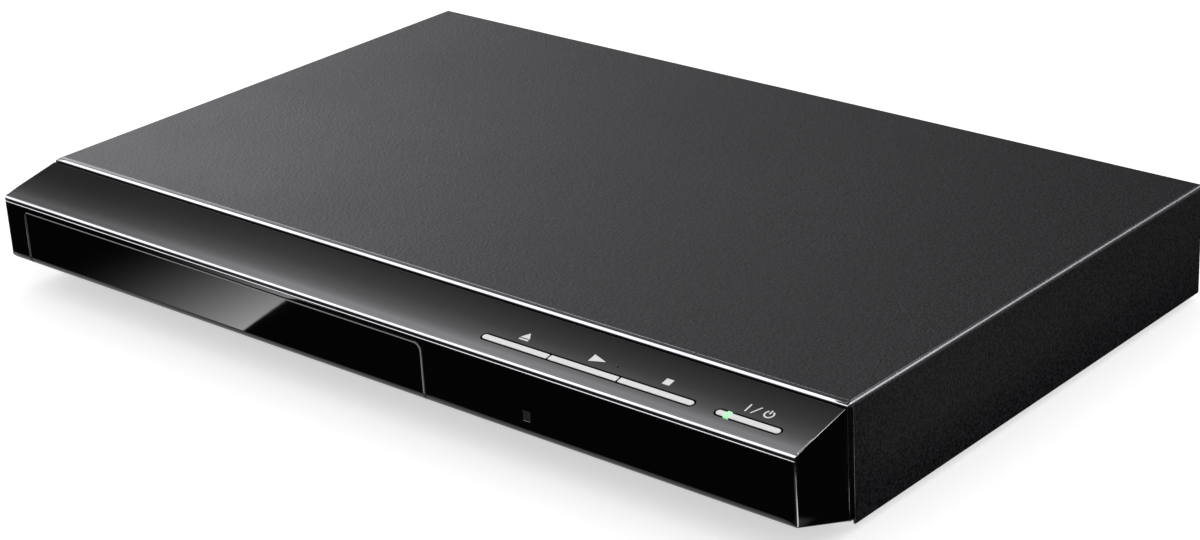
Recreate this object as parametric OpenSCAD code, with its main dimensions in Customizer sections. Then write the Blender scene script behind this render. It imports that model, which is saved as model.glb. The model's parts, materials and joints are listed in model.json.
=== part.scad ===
// Slim disc player with a motor-driven tray.
// Millimetres. X to the right seen from the front, Y to the back, Z up.
// The origin lies on the standing surface, under the middle of the case.

/* [Case] */
// Width over the cover's sides
width = 320; // [318:0.5:324]
// Depth from the front face to the tips of the rear sockets
depth = 209; // [207:0.5:212]
// Height from the standing surface to the top of the cover
height = 38.5; // [38.5:0.1:39.5]
// Height of the rubber feet
foot_h = 2.5; // [2:0.1:3]
// Thickness of the sheet steel
sheet = 0.8; // [0.6:0.1:0.8]
// How far the sockets stand out of the rear panel
socket_proud = 3; // [2.5:0.1:3.5]
// Depth of the plastic front moulding
bezel_depth = 24.5; // [24:0.1:26]

/* [Front moulding] */
// Height at which the sloped top, drawn on, meets the front face
front_top = 33; // [32.6:0.1:33.2]
// Height of the lower edge of the front face
front_bottom = 11.7; // [11.2:0.1:12]
// Length of the sloped top, measured level
slope_run = 22.1; // [21.5:0.1:22.1]
// Rise of the sloped top
slope_rise = 4.6; // [4.4:0.1:4.8]
// Radius of the slope's roll towards the front edge
crown_r = 60; // [50:5:80]
// How far up the slope that roll begins
crown_len = 8; // [6:0.5:9]
// Wall thickness of the moulding
wall = 2; // [1.8:0.1:2.2]

/* [Tray] */
// Left end of the tray's front
door_left = -149.5; // [-150:0.1:-149]
// Right end of the tray's front
door_right = 26.8; // [26:0.1:27.5]
// Height of the upper edge of the tray's front
door_top = 29.4; // [29:0.1:29.8]
// Gap round the tray's front
door_gap = 0.4; // [0.35:0.05:0.5]
// Width of the tray
tray_w = 128; // [127:0.5:129]
// Travel of the tray
tray_travel = 134; // [120:1:134]
// Diameter of the recess for a full-size disc
disc_d = 122; // [121:0.5:122.5]
// Diameter of the recess for a small disc
small_disc_d = 82; // [81:0.5:83]

/* [Buttons] */
// Left end of the row of three buttons
bar_left = 45.6; // [45:0.1:46]
// Right end of the row of three buttons
bar_right = 121.2; // [121:0.1:122]
// Left end of the power button
power_left = 128.9; // [128.5:0.1:129.5]
// Right end of the power button
power_right = 149.9; // [149:0.1:150.5]
// Width of a button's cap
cap_w = 2; // [1.8:0.1:2.2]
// Gap between a cap and its slot
cap_gap = 0.6; // [0.5:0.05:0.7]
// How far a button stands above the slope
cap_proud = 0.15; // [0.1:0.05:0.3]
// How far a button is pressed
press = 0.5; // [0.3:0.1:0.6]

/* [Loader] */
// Tooth module of the gears
gear_module = 1; // [1:1:1]
// Teeth of the pinion that drives the tray
pinion_teeth = 16; // [16:1:16]
// Teeth of the large wheel of the drive gear
wheel_teeth = 28; // [28:1:28]
// Teeth of the pulley's pinion
small_teeth = 12; // [12:1:12]
// Play between meshing teeth
backlash = 0.24; // [0.2:0.02:0.3]
// Angle that the traverse is let down by at rest
tilt = 5.5; // [5.4:0.05:5.6]
// Travel of the cam slider
cam_travel = 18; // [16:0.5:18]

/* [Hidden] */
$fn = 48;
e = 0.01;

front_y = -depth / 2;
rear_y = depth / 2 - socket_proud;
cover_y = front_y + bezel_depth;
half_w = width / 2;
pan_top = foot_h + sheet;
slope = atan2(slope_rise, slope_run);
rim_y = front_y + slope_run;

// Tray and loader
loader_x = (door_left + door_right) / 2;
spindle_y = front_y + 74.5;
door_t = 2.9;
tray_front_y = front_y + door_t;
tray_len = 164.3;
tray_low = 20.5;
tray_top = 26.5;
tray_floor = 23.5;
loader_front = -98.4;
loader_rear = 72;
deck_z = 12.4;
deck_t = 1.6;

// Gear train, in the loader's own X
pitch = PI * gear_module;
pinion_r = pinion_teeth * gear_module / 2;
wheel_r = wheel_teeth * gear_module / 2;
small_r = small_teeth * gear_module / 2;
rack_x = 53;
drive_pos = [rack_x - pinion_r, -82];
train_angle = 171;
pulley_pos = drive_pos + (wheel_r + small_r) * [cos(train_angle), sin(train_angle)];
motor_pos = [40, -60.5];
pulley_r = 8.5;
motor_pulley_r = 3;
belt_r = 0.7;
wheel_z = 14.6;
wheel_h = 2.2;
pinion_z = 17.1;
pinion_h = 3.1;
belt_z = pinion_z + pinion_h / 2;

// Traverse: the sub-chassis with the spindle and the pickup
pivot_y = 50;
pivot_z = 17.5;
pin_y = -58;
pin_r = 1;
pin_xs = [-34, 4];
cam_y0 = -62.6;
cam_y1 = -60.6;
plate_t = 2;
flange_top = 25.9;
turntable_r = 14.5;
rod_xs = [-24, 22];
rod_r = 1.5;
sled_y = spindle_y + 24;
screw_x = -33;
screw_lead = 3;

// Boards
board_t = 1.6;
board_z = 8;
bridge_z = 30.2;

// ---------- general shapes ----------

// Points of an arc
function arc(c, r, a0, a1, n = 5) =
    [for (i = [0:n]) c + r * [cos(a0 + (a1 - a0) * i / n), sin(a0 + (a1 - a0) * i / n)]];

// Outline of a rectangle with rounded corners
function round_rect(x0, y0, x1, y1, r) = concat(
    arc([x1 - r, y1 - r], r, 0, 90),
    arc([x0 + r, y1 - r], r, 90, 180),
    arc([x0 + r, y0 + r], r, 180, 270),
    arc([x1 - r, y0 + r], r, 270, 360));

// Box between two corners
module box(a, b) {
    translate(a) cube(b - a);
}

// Box with rounded upright edges
module round_box(a, b, r) {
    translate([0, 0, a[2]])
        linear_extrude(b[2] - a[2])
            polygon(round_rect(a[0], a[1], b[0], b[1], r));
}

// Upright cylinder between two heights
module post(x, y, r, z0, z1) {
    translate([x, y, z0]) cylinder(r = r, h = z1 - z0);
}

// Outline in Y and Z drawn along X
module along_x(x0, x1) {
    translate([x0, 0, 0])
        rotate([90, 0, 90])
            linear_extrude(x1 - x0)
                children();
}

// Outline in X and Z drawn along Y
module along_y(y0, y1) {
    translate([0, y1, 0])
        rotate([90, 0, 0])
            linear_extrude(y1 - y0)
                children();
}

// Cylinder along Y
module bar_y(x, z, r, y0, y1) {
    translate([x, y1, z]) rotate([90, 0, 0]) cylinder(r = r, h = y1 - y0);
}

// Cylinder along X
module bar_x(y, z, r, x0, x1) {
    translate([x0, y, z]) rotate([0, 90, 0]) cylinder(r = r, h = x1 - x0);
}

// Involute of a base circle, in degrees
function inv_deg(base_r, r) =
    let (a = acos(min(1, base_r / r))) tan(a) * 180 / PI - a;

// Half of a tooth's angle at radius r
function half_tooth(teeth, r) =
    let (rp = teeth * gear_module / 2, rb = rp * cos(20))
    90 / teeth - backlash / 4 / rp * 180 / PI + inv_deg(rb, rp) - inv_deg(rb, max(r, rb));

// Outline of a spur gear with a tooth on +X
function gear_points(teeth) =
    let (rp = teeth * gear_module / 2,
         rb = rp * cos(20),
         root = rp - 1.2 * gear_module,
         tip = rp + 0.95 * gear_module,
         rs = [root, max(rb, root + 0.05), rp, tip])
    [for (i = [0:teeth - 1], side = [-1, 1], k = [0:3])
        let (r = side < 0 ? rs[k] : rs[3 - k],
             a = 360 * i / teeth + side * half_tooth(teeth, r))
        r * [cos(a), sin(a)]];

// Spur gear
module gear(teeth, h, turn = 0) {
    rotate([0, 0, turn]) linear_extrude(h) polygon(gear_points(teeth));
}

// Pan-head screw, its head on z = 0 and its shank down
module screw(d = 3, len = 6, head = 5.5) {
    difference() {
        cylinder(d = head, h = 1.6);
        for (a = [0, 90])
            rotate([0, 0, a]) translate([-head * 0.3, -0.35, 0.8]) cube([head * 0.6, 0.7, 1]);
    }
    translate([0, 0, -len]) cylinder(d = d, h = len + e);
}

// Moves its children into the loader's own X
module in_loader() {
    translate([loader_x, 0, 0]) children();
}

// Lets the traverse and what it carries down about its pivot
module let_down() {
    translate([loader_x, pivot_y, pivot_z])
        rotate([tilt, 0, 0])
            translate([0, -pivot_y, -pivot_z])
                children();
}

// Places its children on the sloped top, s up the slope, local Z outwards
module on_slope(x, s) {
    translate([x, front_y + s * cos(slope), front_top + s * sin(slope)])
        rotate([slope, 0, 0])
            children();
}

// ---------- case ----------

// Slot in the case sheet
module vent(x, y, len, w = 3) {
    round_box([x - w / 2, y - len / 2, foot_h - 1], [x + w / 2, y + len / 2, pan_top + 1], w / 2 - e);
}

cover_r = 1.2;
tab_xs = [-120, 0, 120];
tab_z = height - 8;

module cover_outline(inset) {
    r = max(cover_r - inset, 0.3);
    polygon(concat(
        [[-half_w + inset, foot_h]],
        arc([-half_w + inset + r, height - inset - r], r, 180, 90, 4),
        arc([half_w - inset - r, height - inset - r], r, 90, 0, 4),
        [[half_w - inset, foot_h]]));
}

module top_cover() {
    color([0.13, 0.13, 0.14]) {
        difference() {
            along_y(cover_y, rear_y) cover_outline(0);
            along_y(cover_y - 1, rear_y + 1)
                difference() {
                    cover_outline(sheet);
                    translate([-half_w, foot_h - 1]) square([width, 1]);
                }
            box([-half_w + sheet, cover_y - 1, foot_h - 1], [half_w - sheet, rear_y + 1, foot_h + 1]);
        }
        // Hems along the lower edges
        for (side = [-1, 1])
            box([side * (half_w - 1.5 * sheet) - sheet / 2 - e, cover_y + 4, foot_h],
                [side * (half_w - 1.5 * sheet) + sheet / 2 + e, rear_y - 4, foot_h + 0.6]);
        // Tabs that take the rear screws
        for (x = tab_xs)
            difference() {
                box([x - 8, rear_y - e, tab_z], [x + 8, rear_y + sheet, height - 0.3]);
                bar_y(x, tab_z + 3.6, 1.6, rear_y - 1, rear_y + 2);
            }
    }
}

foot_xs = [-138, 138];
foot_ys = [-66, 84];
board_x0 = 24;
board_x1 = 150;
board_y0 = 22;
board_y1 = 96;
power_x0 = 58;
power_x1 = 150;
power_y0 = -70;
power_y1 = 14;
main_posts = [for (x = [board_x0 + 4, board_x1 - 4], y = [board_y0 + 4, board_y1 - 10]) [x, y]];
power_posts = [for (x = [power_x0 + 4, power_x1 - 4], y = [power_y0 + 4, power_y1 - 4]) [x, y]];
loader_seat = 6;
loader_posts = [for (x = [-67, 67], y = [-68, 62]) [loader_x + x, y]];

bezel_screw_xs = [-130, 20, 130];
bezel_screw_z = 7.6;

standoff_shank = 2.2;
standoff_bore = 1.5;

// Tapped spacers pressed into the pan, for the loader and the boards
module standoffs() {
    color([0.72, 0.72, 0.74])
        difference() {
            union() {
                for (p = loader_posts)
                    post(p[0], p[1], 3.5, pan_top, loader_seat);
                for (p = concat(main_posts, power_posts))
                    post(p[0], p[1], 3, pan_top, board_z);
                for (p = concat(loader_posts, main_posts, power_posts))
                    post(p[0], p[1], standoff_shank - e, foot_h, pan_top + e);
            }
            for (p = concat(loader_posts, main_posts, power_posts))
                post(p[0], p[1], standoff_bore, foot_h - 1, board_z + 1);
        }
}

module base_pan() {
    color([0.62, 0.63, 0.65]) {
        difference() {
            union() {
                box([-half_w + 2 * sheet + 0.7, cover_y + 0.3, foot_h],
                    [half_w - 2 * sheet - 0.7, rear_y - sheet, pan_top]);
                // Side walls
                for (side = [-1, 1])
                    box([side * (half_w - sheet - 1.5) - sheet / 2, cover_y + 0.3, foot_h],
                        [side * (half_w - sheet - 1.5) + sheet / 2, rear_y - sheet, 13]);
                // Front wall
                box([-half_w + 4, cover_y + 0.3, foot_h], [half_w - 4, cover_y + 0.3 + sheet, 11]);
                // Long stiffening beads
                for (x = [-146, 16, 154])
                    round_box([x - 2, -60, foot_h], [x + 2, 90, pan_top + 0.8], 1.9);
            }
            // Holes that the standoffs are pressed into
            for (p = concat(loader_posts, main_posts, power_posts))
                post(p[0], p[1], standoff_shank, foot_h - 1, pan_top + 1);
            // Vents under the boards
            for (i = [0:9])
                vent(74 + 7 * i, -28, 50);
            for (i = [0:9])
                vent(52 + 9 * i, 56, 30);
            // Holes for the feet's stems
            for (x = foot_xs, y = foot_ys)
                post(x, y, 2.1, foot_h - 1, pan_top + 1);
            // Holes for the screws into the front moulding
            for (x = bezel_screw_xs)
                bar_y(x, bezel_screw_z, 1.6, cover_y - 1, cover_y + 3);
        }
    }
}

rca_xs = [for (i = [0:5]) 50 + 14 * i];
coax_x = 36;
hdmi_x = 148 - 4;
hdmi_z = 15.5;
rca_z = 19;
inlet_x = -136;
insert_r = 3.4;

module rear_panel() {
    color([0.2, 0.2, 0.21])
        difference() {
            union() {
                box([-half_w + sheet + 0.3, rear_y - sheet + e, foot_h],
                    [half_w - sheet - 0.3, rear_y - e, height - sheet - 0.1]);
                // Flange under the cover
                box([-half_w + 6, rear_y - 9, height - 2 * sheet - 0.1],
                    [half_w - 6, rear_y - e, height - sheet - 0.1]);
            }
            for (x = concat([coax_x], rca_xs))
                bar_y(x, rca_z, 4.35, rear_y - 2, rear_y + 1);
            box([hdmi_x - 7.7, rear_y - 2, hdmi_z - 2.9], [hdmi_x + 7.7, rear_y + 1, hdmi_z + 2.9]);
            bar_y(inlet_x, 14, 4.6, rear_y - 2, rear_y + 1);
            for (x = tab_xs)
                bar_y(x, tab_z + 3.6, 1.25, rear_y - 2, rear_y + 1);
            // Vent slots
            for (i = [0:15])
                box([-104 + 7 * i, rear_y - 2, 10], [-101 + 7 * i, rear_y + 1, 27]);
        }
}

module feet() {
    color([0.06, 0.06, 0.06])
        for (x = foot_xs, y = foot_ys) {
            translate([x, y, 0])
                rotate_extrude()
                    polygon(concat([[0, 0]], arc([7, 1], 1, -90, 0, 3), [[8.4, foot_h], [0, foot_h]]));
            post(x, y, 2, foot_h - e, pan_top + 1.5);
            post(x, y, 2.6, pan_top, pan_top + 1.5);
        }
}

// ---------- front moulding ----------

rim_r = 1.1;
rim_groove = 0.5;
rim_top = height;
belly_y = cover_y;
belly_z = foot_h + 0.4;
slope_end_z = front_top + slope_rise;
belly_angle = atan2(front_bottom - belly_z, belly_y - front_y);

// Rounding of the front's lower edge, tangent to the face and to the slanted underside
chin_r = 3;
chin_z = front_bottom - chin_r * tan(belly_angle) + chin_r / cos(belly_angle);

function chin() = arc([front_y + chin_r, chin_z], chin_r, 270 - belly_angle, 180, 6);

// Slope's steepest angle, at the front edge, and its height just behind the edge's rounding
crown_end = slope + crown_len / crown_r * 180 / PI;
crown_z = slope_point(0)[1] + tan(crown_end);

// Middle of the top edge's rounding, and the depth of the groove under it
edge_z = crown_z - 1 / cos(crown_end);
edge_groove = 0.45;

// Point s up the slope, which rolls down towards the front edge
function slope_point(s) =
    let (drop = s < crown_len ? pow(crown_len - s, 2) / 2 / crown_r : 0)
    [front_y + s * cos(slope) + drop * sin(slope), front_top + s * sin(slope) - drop * cos(slope)];

// Outer outline of the moulding in Y and Z
function bezel_outline() = concat(
    chin(),
    arc([front_y + 0.55, edge_z - 1], 0.55, 180, 105, 4),
    [[front_y + edge_groove, edge_z - 0.45], [front_y + edge_groove, edge_z - 0.22],
     [front_y + 0.02, edge_z - 0.2]],
    arc([front_y + 1, edge_z], 1, 180, 90 + crown_end, 4),
    [for (i = [1:6]) slope_point(crown_len * i / 6)],
    // Groove in front of the rim
    [[rim_y - 0.75, slope_end_z - 0.75 * tan(slope)], [rim_y - 0.6, slope_end_z - 0.17],
     [rim_y - rim_groove, slope_end_z - 0.3], [rim_y - rim_groove, slope_end_z - 0.5],
     [rim_y, slope_end_z - 0.5]],
    arc([rim_y + rim_r, rim_top - rim_r], rim_r, 180, 90, 6),
    [[cover_y, rim_top], [cover_y, belly_z]]);

// Inner outline; a is how far the front wall's inner face lies back
function cavity_outline(a) = [
    [front_y + a, front_bottom + wall + 0.1 - (a - wall) * tan(belly_angle)],
    [front_y + a, front_top - wall - 0.2 + (a - wall) * tan(slope)],
    [rim_y + 0.4, slope_end_z - wall + 0.1],
    [rim_y + 0.4, rim_top - wall + 0.4],
    [cover_y + 1, rim_top - wall + 0.4],
    [cover_y + 1, belly_z + wall - 0.5]];

module bezel_solid() {
    intersection() {
        along_x(-half_w, half_w) polygon(bezel_outline());
        along_y(front_y - 1, cover_y + 1)
            polygon(concat(
                [[-half_w, 0]],
                arc([-half_w + 1.2, rim_top - 1.2], 1.2, 180, 90, 4),
                arc([half_w - 1.2, rim_top - 1.2], 1.2, 90, 0, 4),
                [[half_w, 0]]));
        // Rounded lower corners, along the slanted underside
        translate([0, belly_y, belly_z])
            rotate([-belly_angle, 0, 0])
                along_y(-40, 10)
                    polygon(concat(
                        arc([-half_w + 2.2, 2.2], 2.2, 270, 180, 4),
                        [[-half_w, 2 * height], [half_w, 2 * height]],
                        arc([half_w - 2.2, 2.2], 2.2, 0, -90, 4)));
        linear_extrude(height + 1)
            polygon(concat(
                [[-half_w, cover_y + 1], [-half_w, rim_y + 0.3], [-half_w + 0.2, rim_y],
                 [-half_w + 0.7, rim_y], [-half_w + 0.7, rim_y - 0.4], [-half_w + 0.3, rim_y - rim_groove]],
                arc([-half_w + 1.3, front_y + 0.8], 0.8, 180, 270, 3),
                arc([half_w - 1.3, front_y + 0.8], 0.8, 270, 360, 3),
                [[half_w - 0.3, rim_y - rim_groove], [half_w - 0.7, rim_y - 0.4], [half_w - 0.7, rim_y],
                 [half_w - 0.2, rim_y], [half_w, rim_y + 0.3], [half_w, cover_y + 1]]));
    }
}

ir_pos = [66.4, 17.8];
aperture_half = tray_w / 2 + 1;

// Stadium-shaped slot through the sloped top
module slope_slot(x0, x1, grow, z0, z1) {
    s0 = slope_mid - cap_w / 2 - grow;
    s1 = slope_mid + cap_w / 2 + grow;
    on_slope(0, 0)
        translate([0, 0, z0])
            linear_extrude(z1 - z0)
                polygon(round_rect(x0 - grow, s0, x1 + grow, s1, (s1 - s0) / 2 - e));
}

// Upper corners of the tray's front, grown by a gap
function door_corners(gap) = concat(
    arc([door_right - 2.6, door_top - 2.6], 2.6 + gap, 0, 90),
    arc([door_left + 1, door_top - 1], 1 + gap, 90, 180));

module front_bezel() {
    color([0.05, 0.05, 0.055]) {
        difference() {
            bezel_solid();
            // Hollow behind the wall, deeper behind the tray's front
            difference() {
                along_x(-half_w + wall + 0.4, half_w - wall - 0.4) polygon(cavity_outline(wall));
                box([door_left - 3, front_y - 1, 0], [door_right + 3, front_y + 5.6, height]);
            }
            along_x(door_left - 3 - e, door_right + 3 + e) polygon(cavity_outline(5.6));
            // Pocket of the tray's front
            along_y(front_y - 20, tray_front_y + 0.35)
                polygon(concat(
                    [[door_left - door_gap, -1], [door_right + door_gap, -1]],
                    door_corners(door_gap)));
            // Way through for the tray
            box([loader_x - aperture_half, front_y, 16.2],
                [loader_x + aperture_half, front_y + 8, tray_top + 0.8]);
            // Button slots and the window
            slope_slot(bar_left, bar_right, cap_gap, -4, 2);
            slope_slot(power_left, power_right, cap_gap, -4, 2);
            box([ir_pos[0] - 1.2, front_y - 1, ir_pos[1] - 1.45],
                [ir_pos[0] + 1.2, front_y + 4, ir_pos[1] + 1.45]);
        }
        // Tongue under the cover's front edge
        box([-half_w + 6, cover_y - 1.4, height - sheet - 1.1],
            [half_w - 6, cover_y + 4, height - sheet - 0.1]);
        // Screw bosses behind the lower wall
        for (x = bezel_screw_xs)
            difference() {
                bar_y(x, bezel_screw_z, 2.6, cover_y - 4.6, cover_y);
                bar_y(x, bezel_screw_z, 1.2, cover_y - 3.8, cover_y + 1);
            }
        // Ribs between the walls
        for (x = [-154, 34, 125.2, 154])
            along_x(x - 0.6, x + 0.6)
                polygon([
                    [front_y + wall - 0.2, 20],
                    [front_y + wall - 0.2, front_top - wall + 0.1],
                    [rim_y - 2, slope_end_z - wall - 0.2],
                    [front_y + wall + 4, front_top - wall]]);
    }
}

module ir_window() {
    color([0.12, 0.03, 0.04])
        box([ir_pos[0] - 1.2, front_y + 0.05, ir_pos[1] - 1.45],
            [ir_pos[0] + 1.2, front_y + 3, ir_pos[1] + 1.45]);
}

// ---------- tray ----------

// The tray's front: a gloss plate that ends in the slanted underside of the moulding
module tray_front() {
    color([0.03, 0.03, 0.035]) {
        intersection() {
            along_x(door_left, door_right)
                polygon(concat(
                    chin(),
                    [[front_y, door_top], [tray_front_y, door_top],
                     [tray_front_y, front_bottom + 0.3 - door_t * tan(belly_angle)]]));
            along_y(front_y - 1, front_y + 5)
                polygon(concat(
                    [[door_left, 0], [door_right + 0.1, 0], [door_right, front_bottom + 2]],
                    door_corners(0)));
        }
        // Frame on the back, and the hooks that hold the plate to the tray
        for (x = [-46, 0, 46])
            in_loader() {
                box([x - 6, tray_front_y - e, 21.5], [x - 4, tray_front_y + 5, 24.5]);
                box([x + 4, tray_front_y - e, 21.5], [x + 6, tray_front_y + 5, 24.5]);
            }
    }
}

// Length of rack beyond each end of the tray's travel
rack_spare = 8;

// Teeth of the rack, pointing to -X, a gap level with the drive gear
module rack() {
    first = drive_pos[1] - rack_spare;
    last = drive_pos[1] + tray_travel + rack_spare;
    count = floor((last - first) / pitch);
    mid = (drive_pos[1] - first) / pitch;
    offset_y = (mid - floor(mid)) * pitch + pitch / 2;
    half = pitch / 4 - backlash / 4;
    tip_x = rack_x - 0.95 * gear_module;
    root_x = rack_x + 1.2 * gear_module;
    translate([0, 0, pinion_z - 0.1])
        linear_extrude(tray_low - pinion_z + 0.2)
            polygon(concat(
                [[rack_x + 5, first], [rack_x + 5, last], [root_x, last]],
                [for (i = [count - 2:-1:0], k = [0:3])
                    let (y = first + offset_y + i * pitch,
                         tip = half - 0.95 * tan(20),
                         foot = half + 1.2 * tan(20))
                    [[root_x, tip_x, tip_x, root_x][k], y + [foot, tip, -tip, -foot][k]]],
                [[root_x, first]]));
}

slot_half = 21;

module disc_tray() {
    rear = tray_front_y + tray_len;
    color([0.07, 0.07, 0.075])
        in_loader()
            difference() {
                union() {
                    round_box([-tray_w / 2, tray_front_y, tray_low], [tray_w / 2, rear, tray_top], 3);
                    rack();
                }
                // Recesses for a full-size and a small disc
                translate([0, spindle_y, tray_floor]) cylinder(d = disc_d, h = 10, $fn = 96);
                translate([0, spindle_y, tray_floor - 0.9]) cylinder(d = small_disc_d, h = 10, $fn = 96);
                // Room for the turntable and the pickup
                translate([0, spindle_y, tray_low - 1]) cylinder(r = 19, h = 10);
                round_box([-slot_half, spindle_y, tray_low - 1],
                    [slot_half, spindle_y + 67, tray_floor + 1], 6);
                // Hollow underside between the ribs
                for (side = [-1, 1]) {
                    intersection() {
                        difference() {
                            translate([0, spindle_y, tray_low - e])
                                cylinder(r = 58.5, h = 0.9 + e, $fn = 96);
                            translate([0, spindle_y, tray_low - 1]) cylinder(r = 43, h = 4);
                        }
                        box([side * 38 - 13, spindle_y - 58, 20], [side * 38 + 13, spindle_y + 58, 24]);
                    }
                    box([side * 56 - 6 + (side > 0 ? 4 : 0), rear - 22, tray_low - e],
                        [side * 56 + 6, rear - 2, tray_top - 1.5]);
                }
                // Slots for the hooks of the front
                for (x = [-46, 0, 46], s = [-5, 5])
                    box([x + s - 1.1, tray_front_y - 1, 21.4], [x + s + 1.1, tray_front_y + 5.2, 24.6]);
            }
}

// ---------- buttons ----------

slope_mid = 6.65;
flange_z = -wall - 0.5;
// Front board's face and the height of the switches on it, along the slope's normal
panel_z = -9.6;
panel_t = 1.2;
switch_h = 2.9;
button_low = panel_z + switch_h + press + 0.1;

// Button cap between x0 and x1, round at the chosen ends, with its skirt and plunger
module button(x0, x1, round0, round1, plunger_x) {
    r = cap_w / 2 - e;
    on_slope(0, slope_mid) {
        translate([0, 0, flange_z - 0.4])
            linear_extrude(cap_proud - flange_z + 0.4)
                polygon(concat(
                    round1 ? arc([x1 - r - e, 0], cap_w / 2, -90, 90, 8)
                        : [[x1, -cap_w / 2], [x1, cap_w / 2]],
                    round0 ? arc([x0 + r + e, 0], cap_w / 2, 90, 270, 8)
                        : [[x0, cap_w / 2], [x0, -cap_w / 2]]));
        box([x0 + 0.8, -2.6, flange_z - 1.2], [x1 - 0.8, 2.6, flange_z - 0.1]);
        translate([plunger_x, 0, button_low]) cylinder(r = 1.1, h = -button_low + flange_z);
    }
}

split_1 = 70.2;
split_2 = 95.2;
split_gap = 0.3;

module eject_button() {
    color([0.86, 0.87, 0.88]) button(bar_left, split_1 - split_gap, true, false, 58);
}

module play_button() {
    color([0.86, 0.87, 0.88]) button(split_1 + split_gap, split_2 - split_gap, false, false, 83);
}

module stop_button() {
    color([0.86, 0.87, 0.88]) button(split_2 + split_gap, bar_right, false, true, 108);
}

pipe_x = 132.65;
pipe_half = 0.7;

module power_button() {
    color([0.86, 0.87, 0.88])
        difference() {
            button(power_left, power_right, true, true, 141);
            on_slope(pipe_x, slope_mid)
                box([-pipe_half, -4, -0.6], [pipe_half, 4, 2]);
            on_slope(pipe_x, slope_mid)
                box([-pipe_half, -0.8, -8], [pipe_half, 0.8, 2]);
        }
}

module led_light_pipe() {
    color([0.55, 0.95, 0.6])
        on_slope(pipe_x, slope_mid) {
            box([-pipe_half, -cap_w / 2 - 0.3, -0.6], [pipe_half, cap_w / 2 + 0.3, cap_proud + 0.05]);
            box([-pipe_half, -0.8, -4.6], [pipe_half, 0.8, -0.6 + e]);
        }
}

// ---------- front board ----------

module front_board() {
    color([0.32, 0.25, 0.12])
        on_slope(0, 0)
            difference() {
                box([42, 3.4, panel_z - panel_t], [153, 20, panel_z]);
                for (x = [48, 147])
                    translate([x, 15, panel_z - 3]) cylinder(r = 1.6, h = 5);
            }
    // Connector of the flat cable, under the board
    color([0.85, 0.83, 0.76])
        on_slope(0, 0)
            box([44, 12, panel_z - panel_t - 2.2], [57, 16.2, panel_z - panel_t + e]);
}

module tact_switches() {
    color([0.15, 0.15, 0.16])
        for (x = [58, 83, 108, 141])
            on_slope(x, slope_mid) {
                box([-3, -3, panel_z], [3, 3, panel_z + switch_h - 0.6]);
                translate([0, 0, panel_z + switch_h - 0.6 - e]) cylinder(r = 1.7, h = 0.5);
            }
}

module status_led() {
    color([0.6, 0.95, 0.6])
        on_slope(pipe_x, slope_mid) {
            box([-0.8, -1.2, panel_z], [0.8, 1.2, panel_z + 1.2]);
            translate([0, 0, panel_z + 1]) cylinder(r = 0.7, h = 1);
        }
}

module ir_receiver() {
    color([0.1, 0.09, 0.1]) {
        box([ir_pos[0] - 3, front_y + 3.4, 14.4], [ir_pos[0] + 3, front_y + 6.6, 21]);
        bar_y(ir_pos[0], ir_pos[1], 2.2, front_y + 3.05, front_y + 3.5);
        for (x = [-2, 0, 2])
            box([ir_pos[0] + x - 0.25, front_y + 5.6, 20.9], [ir_pos[0] + x + 0.25, front_y + 6.1, 22.4]);
    }
}

// ---------- loader: frame, clamper and gear train ----------

wall_in = 70;
ledge_in = 62.5;
loader_posts_local = [for (x = [-67, 67], y = [-68, 62]) [x, y]];
axle_r = 1.5;
run_gap = 0.05;
boss_xs = [[-47.6, -44.2], [31.2, 34.6]];
low_floor = 6;

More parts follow.
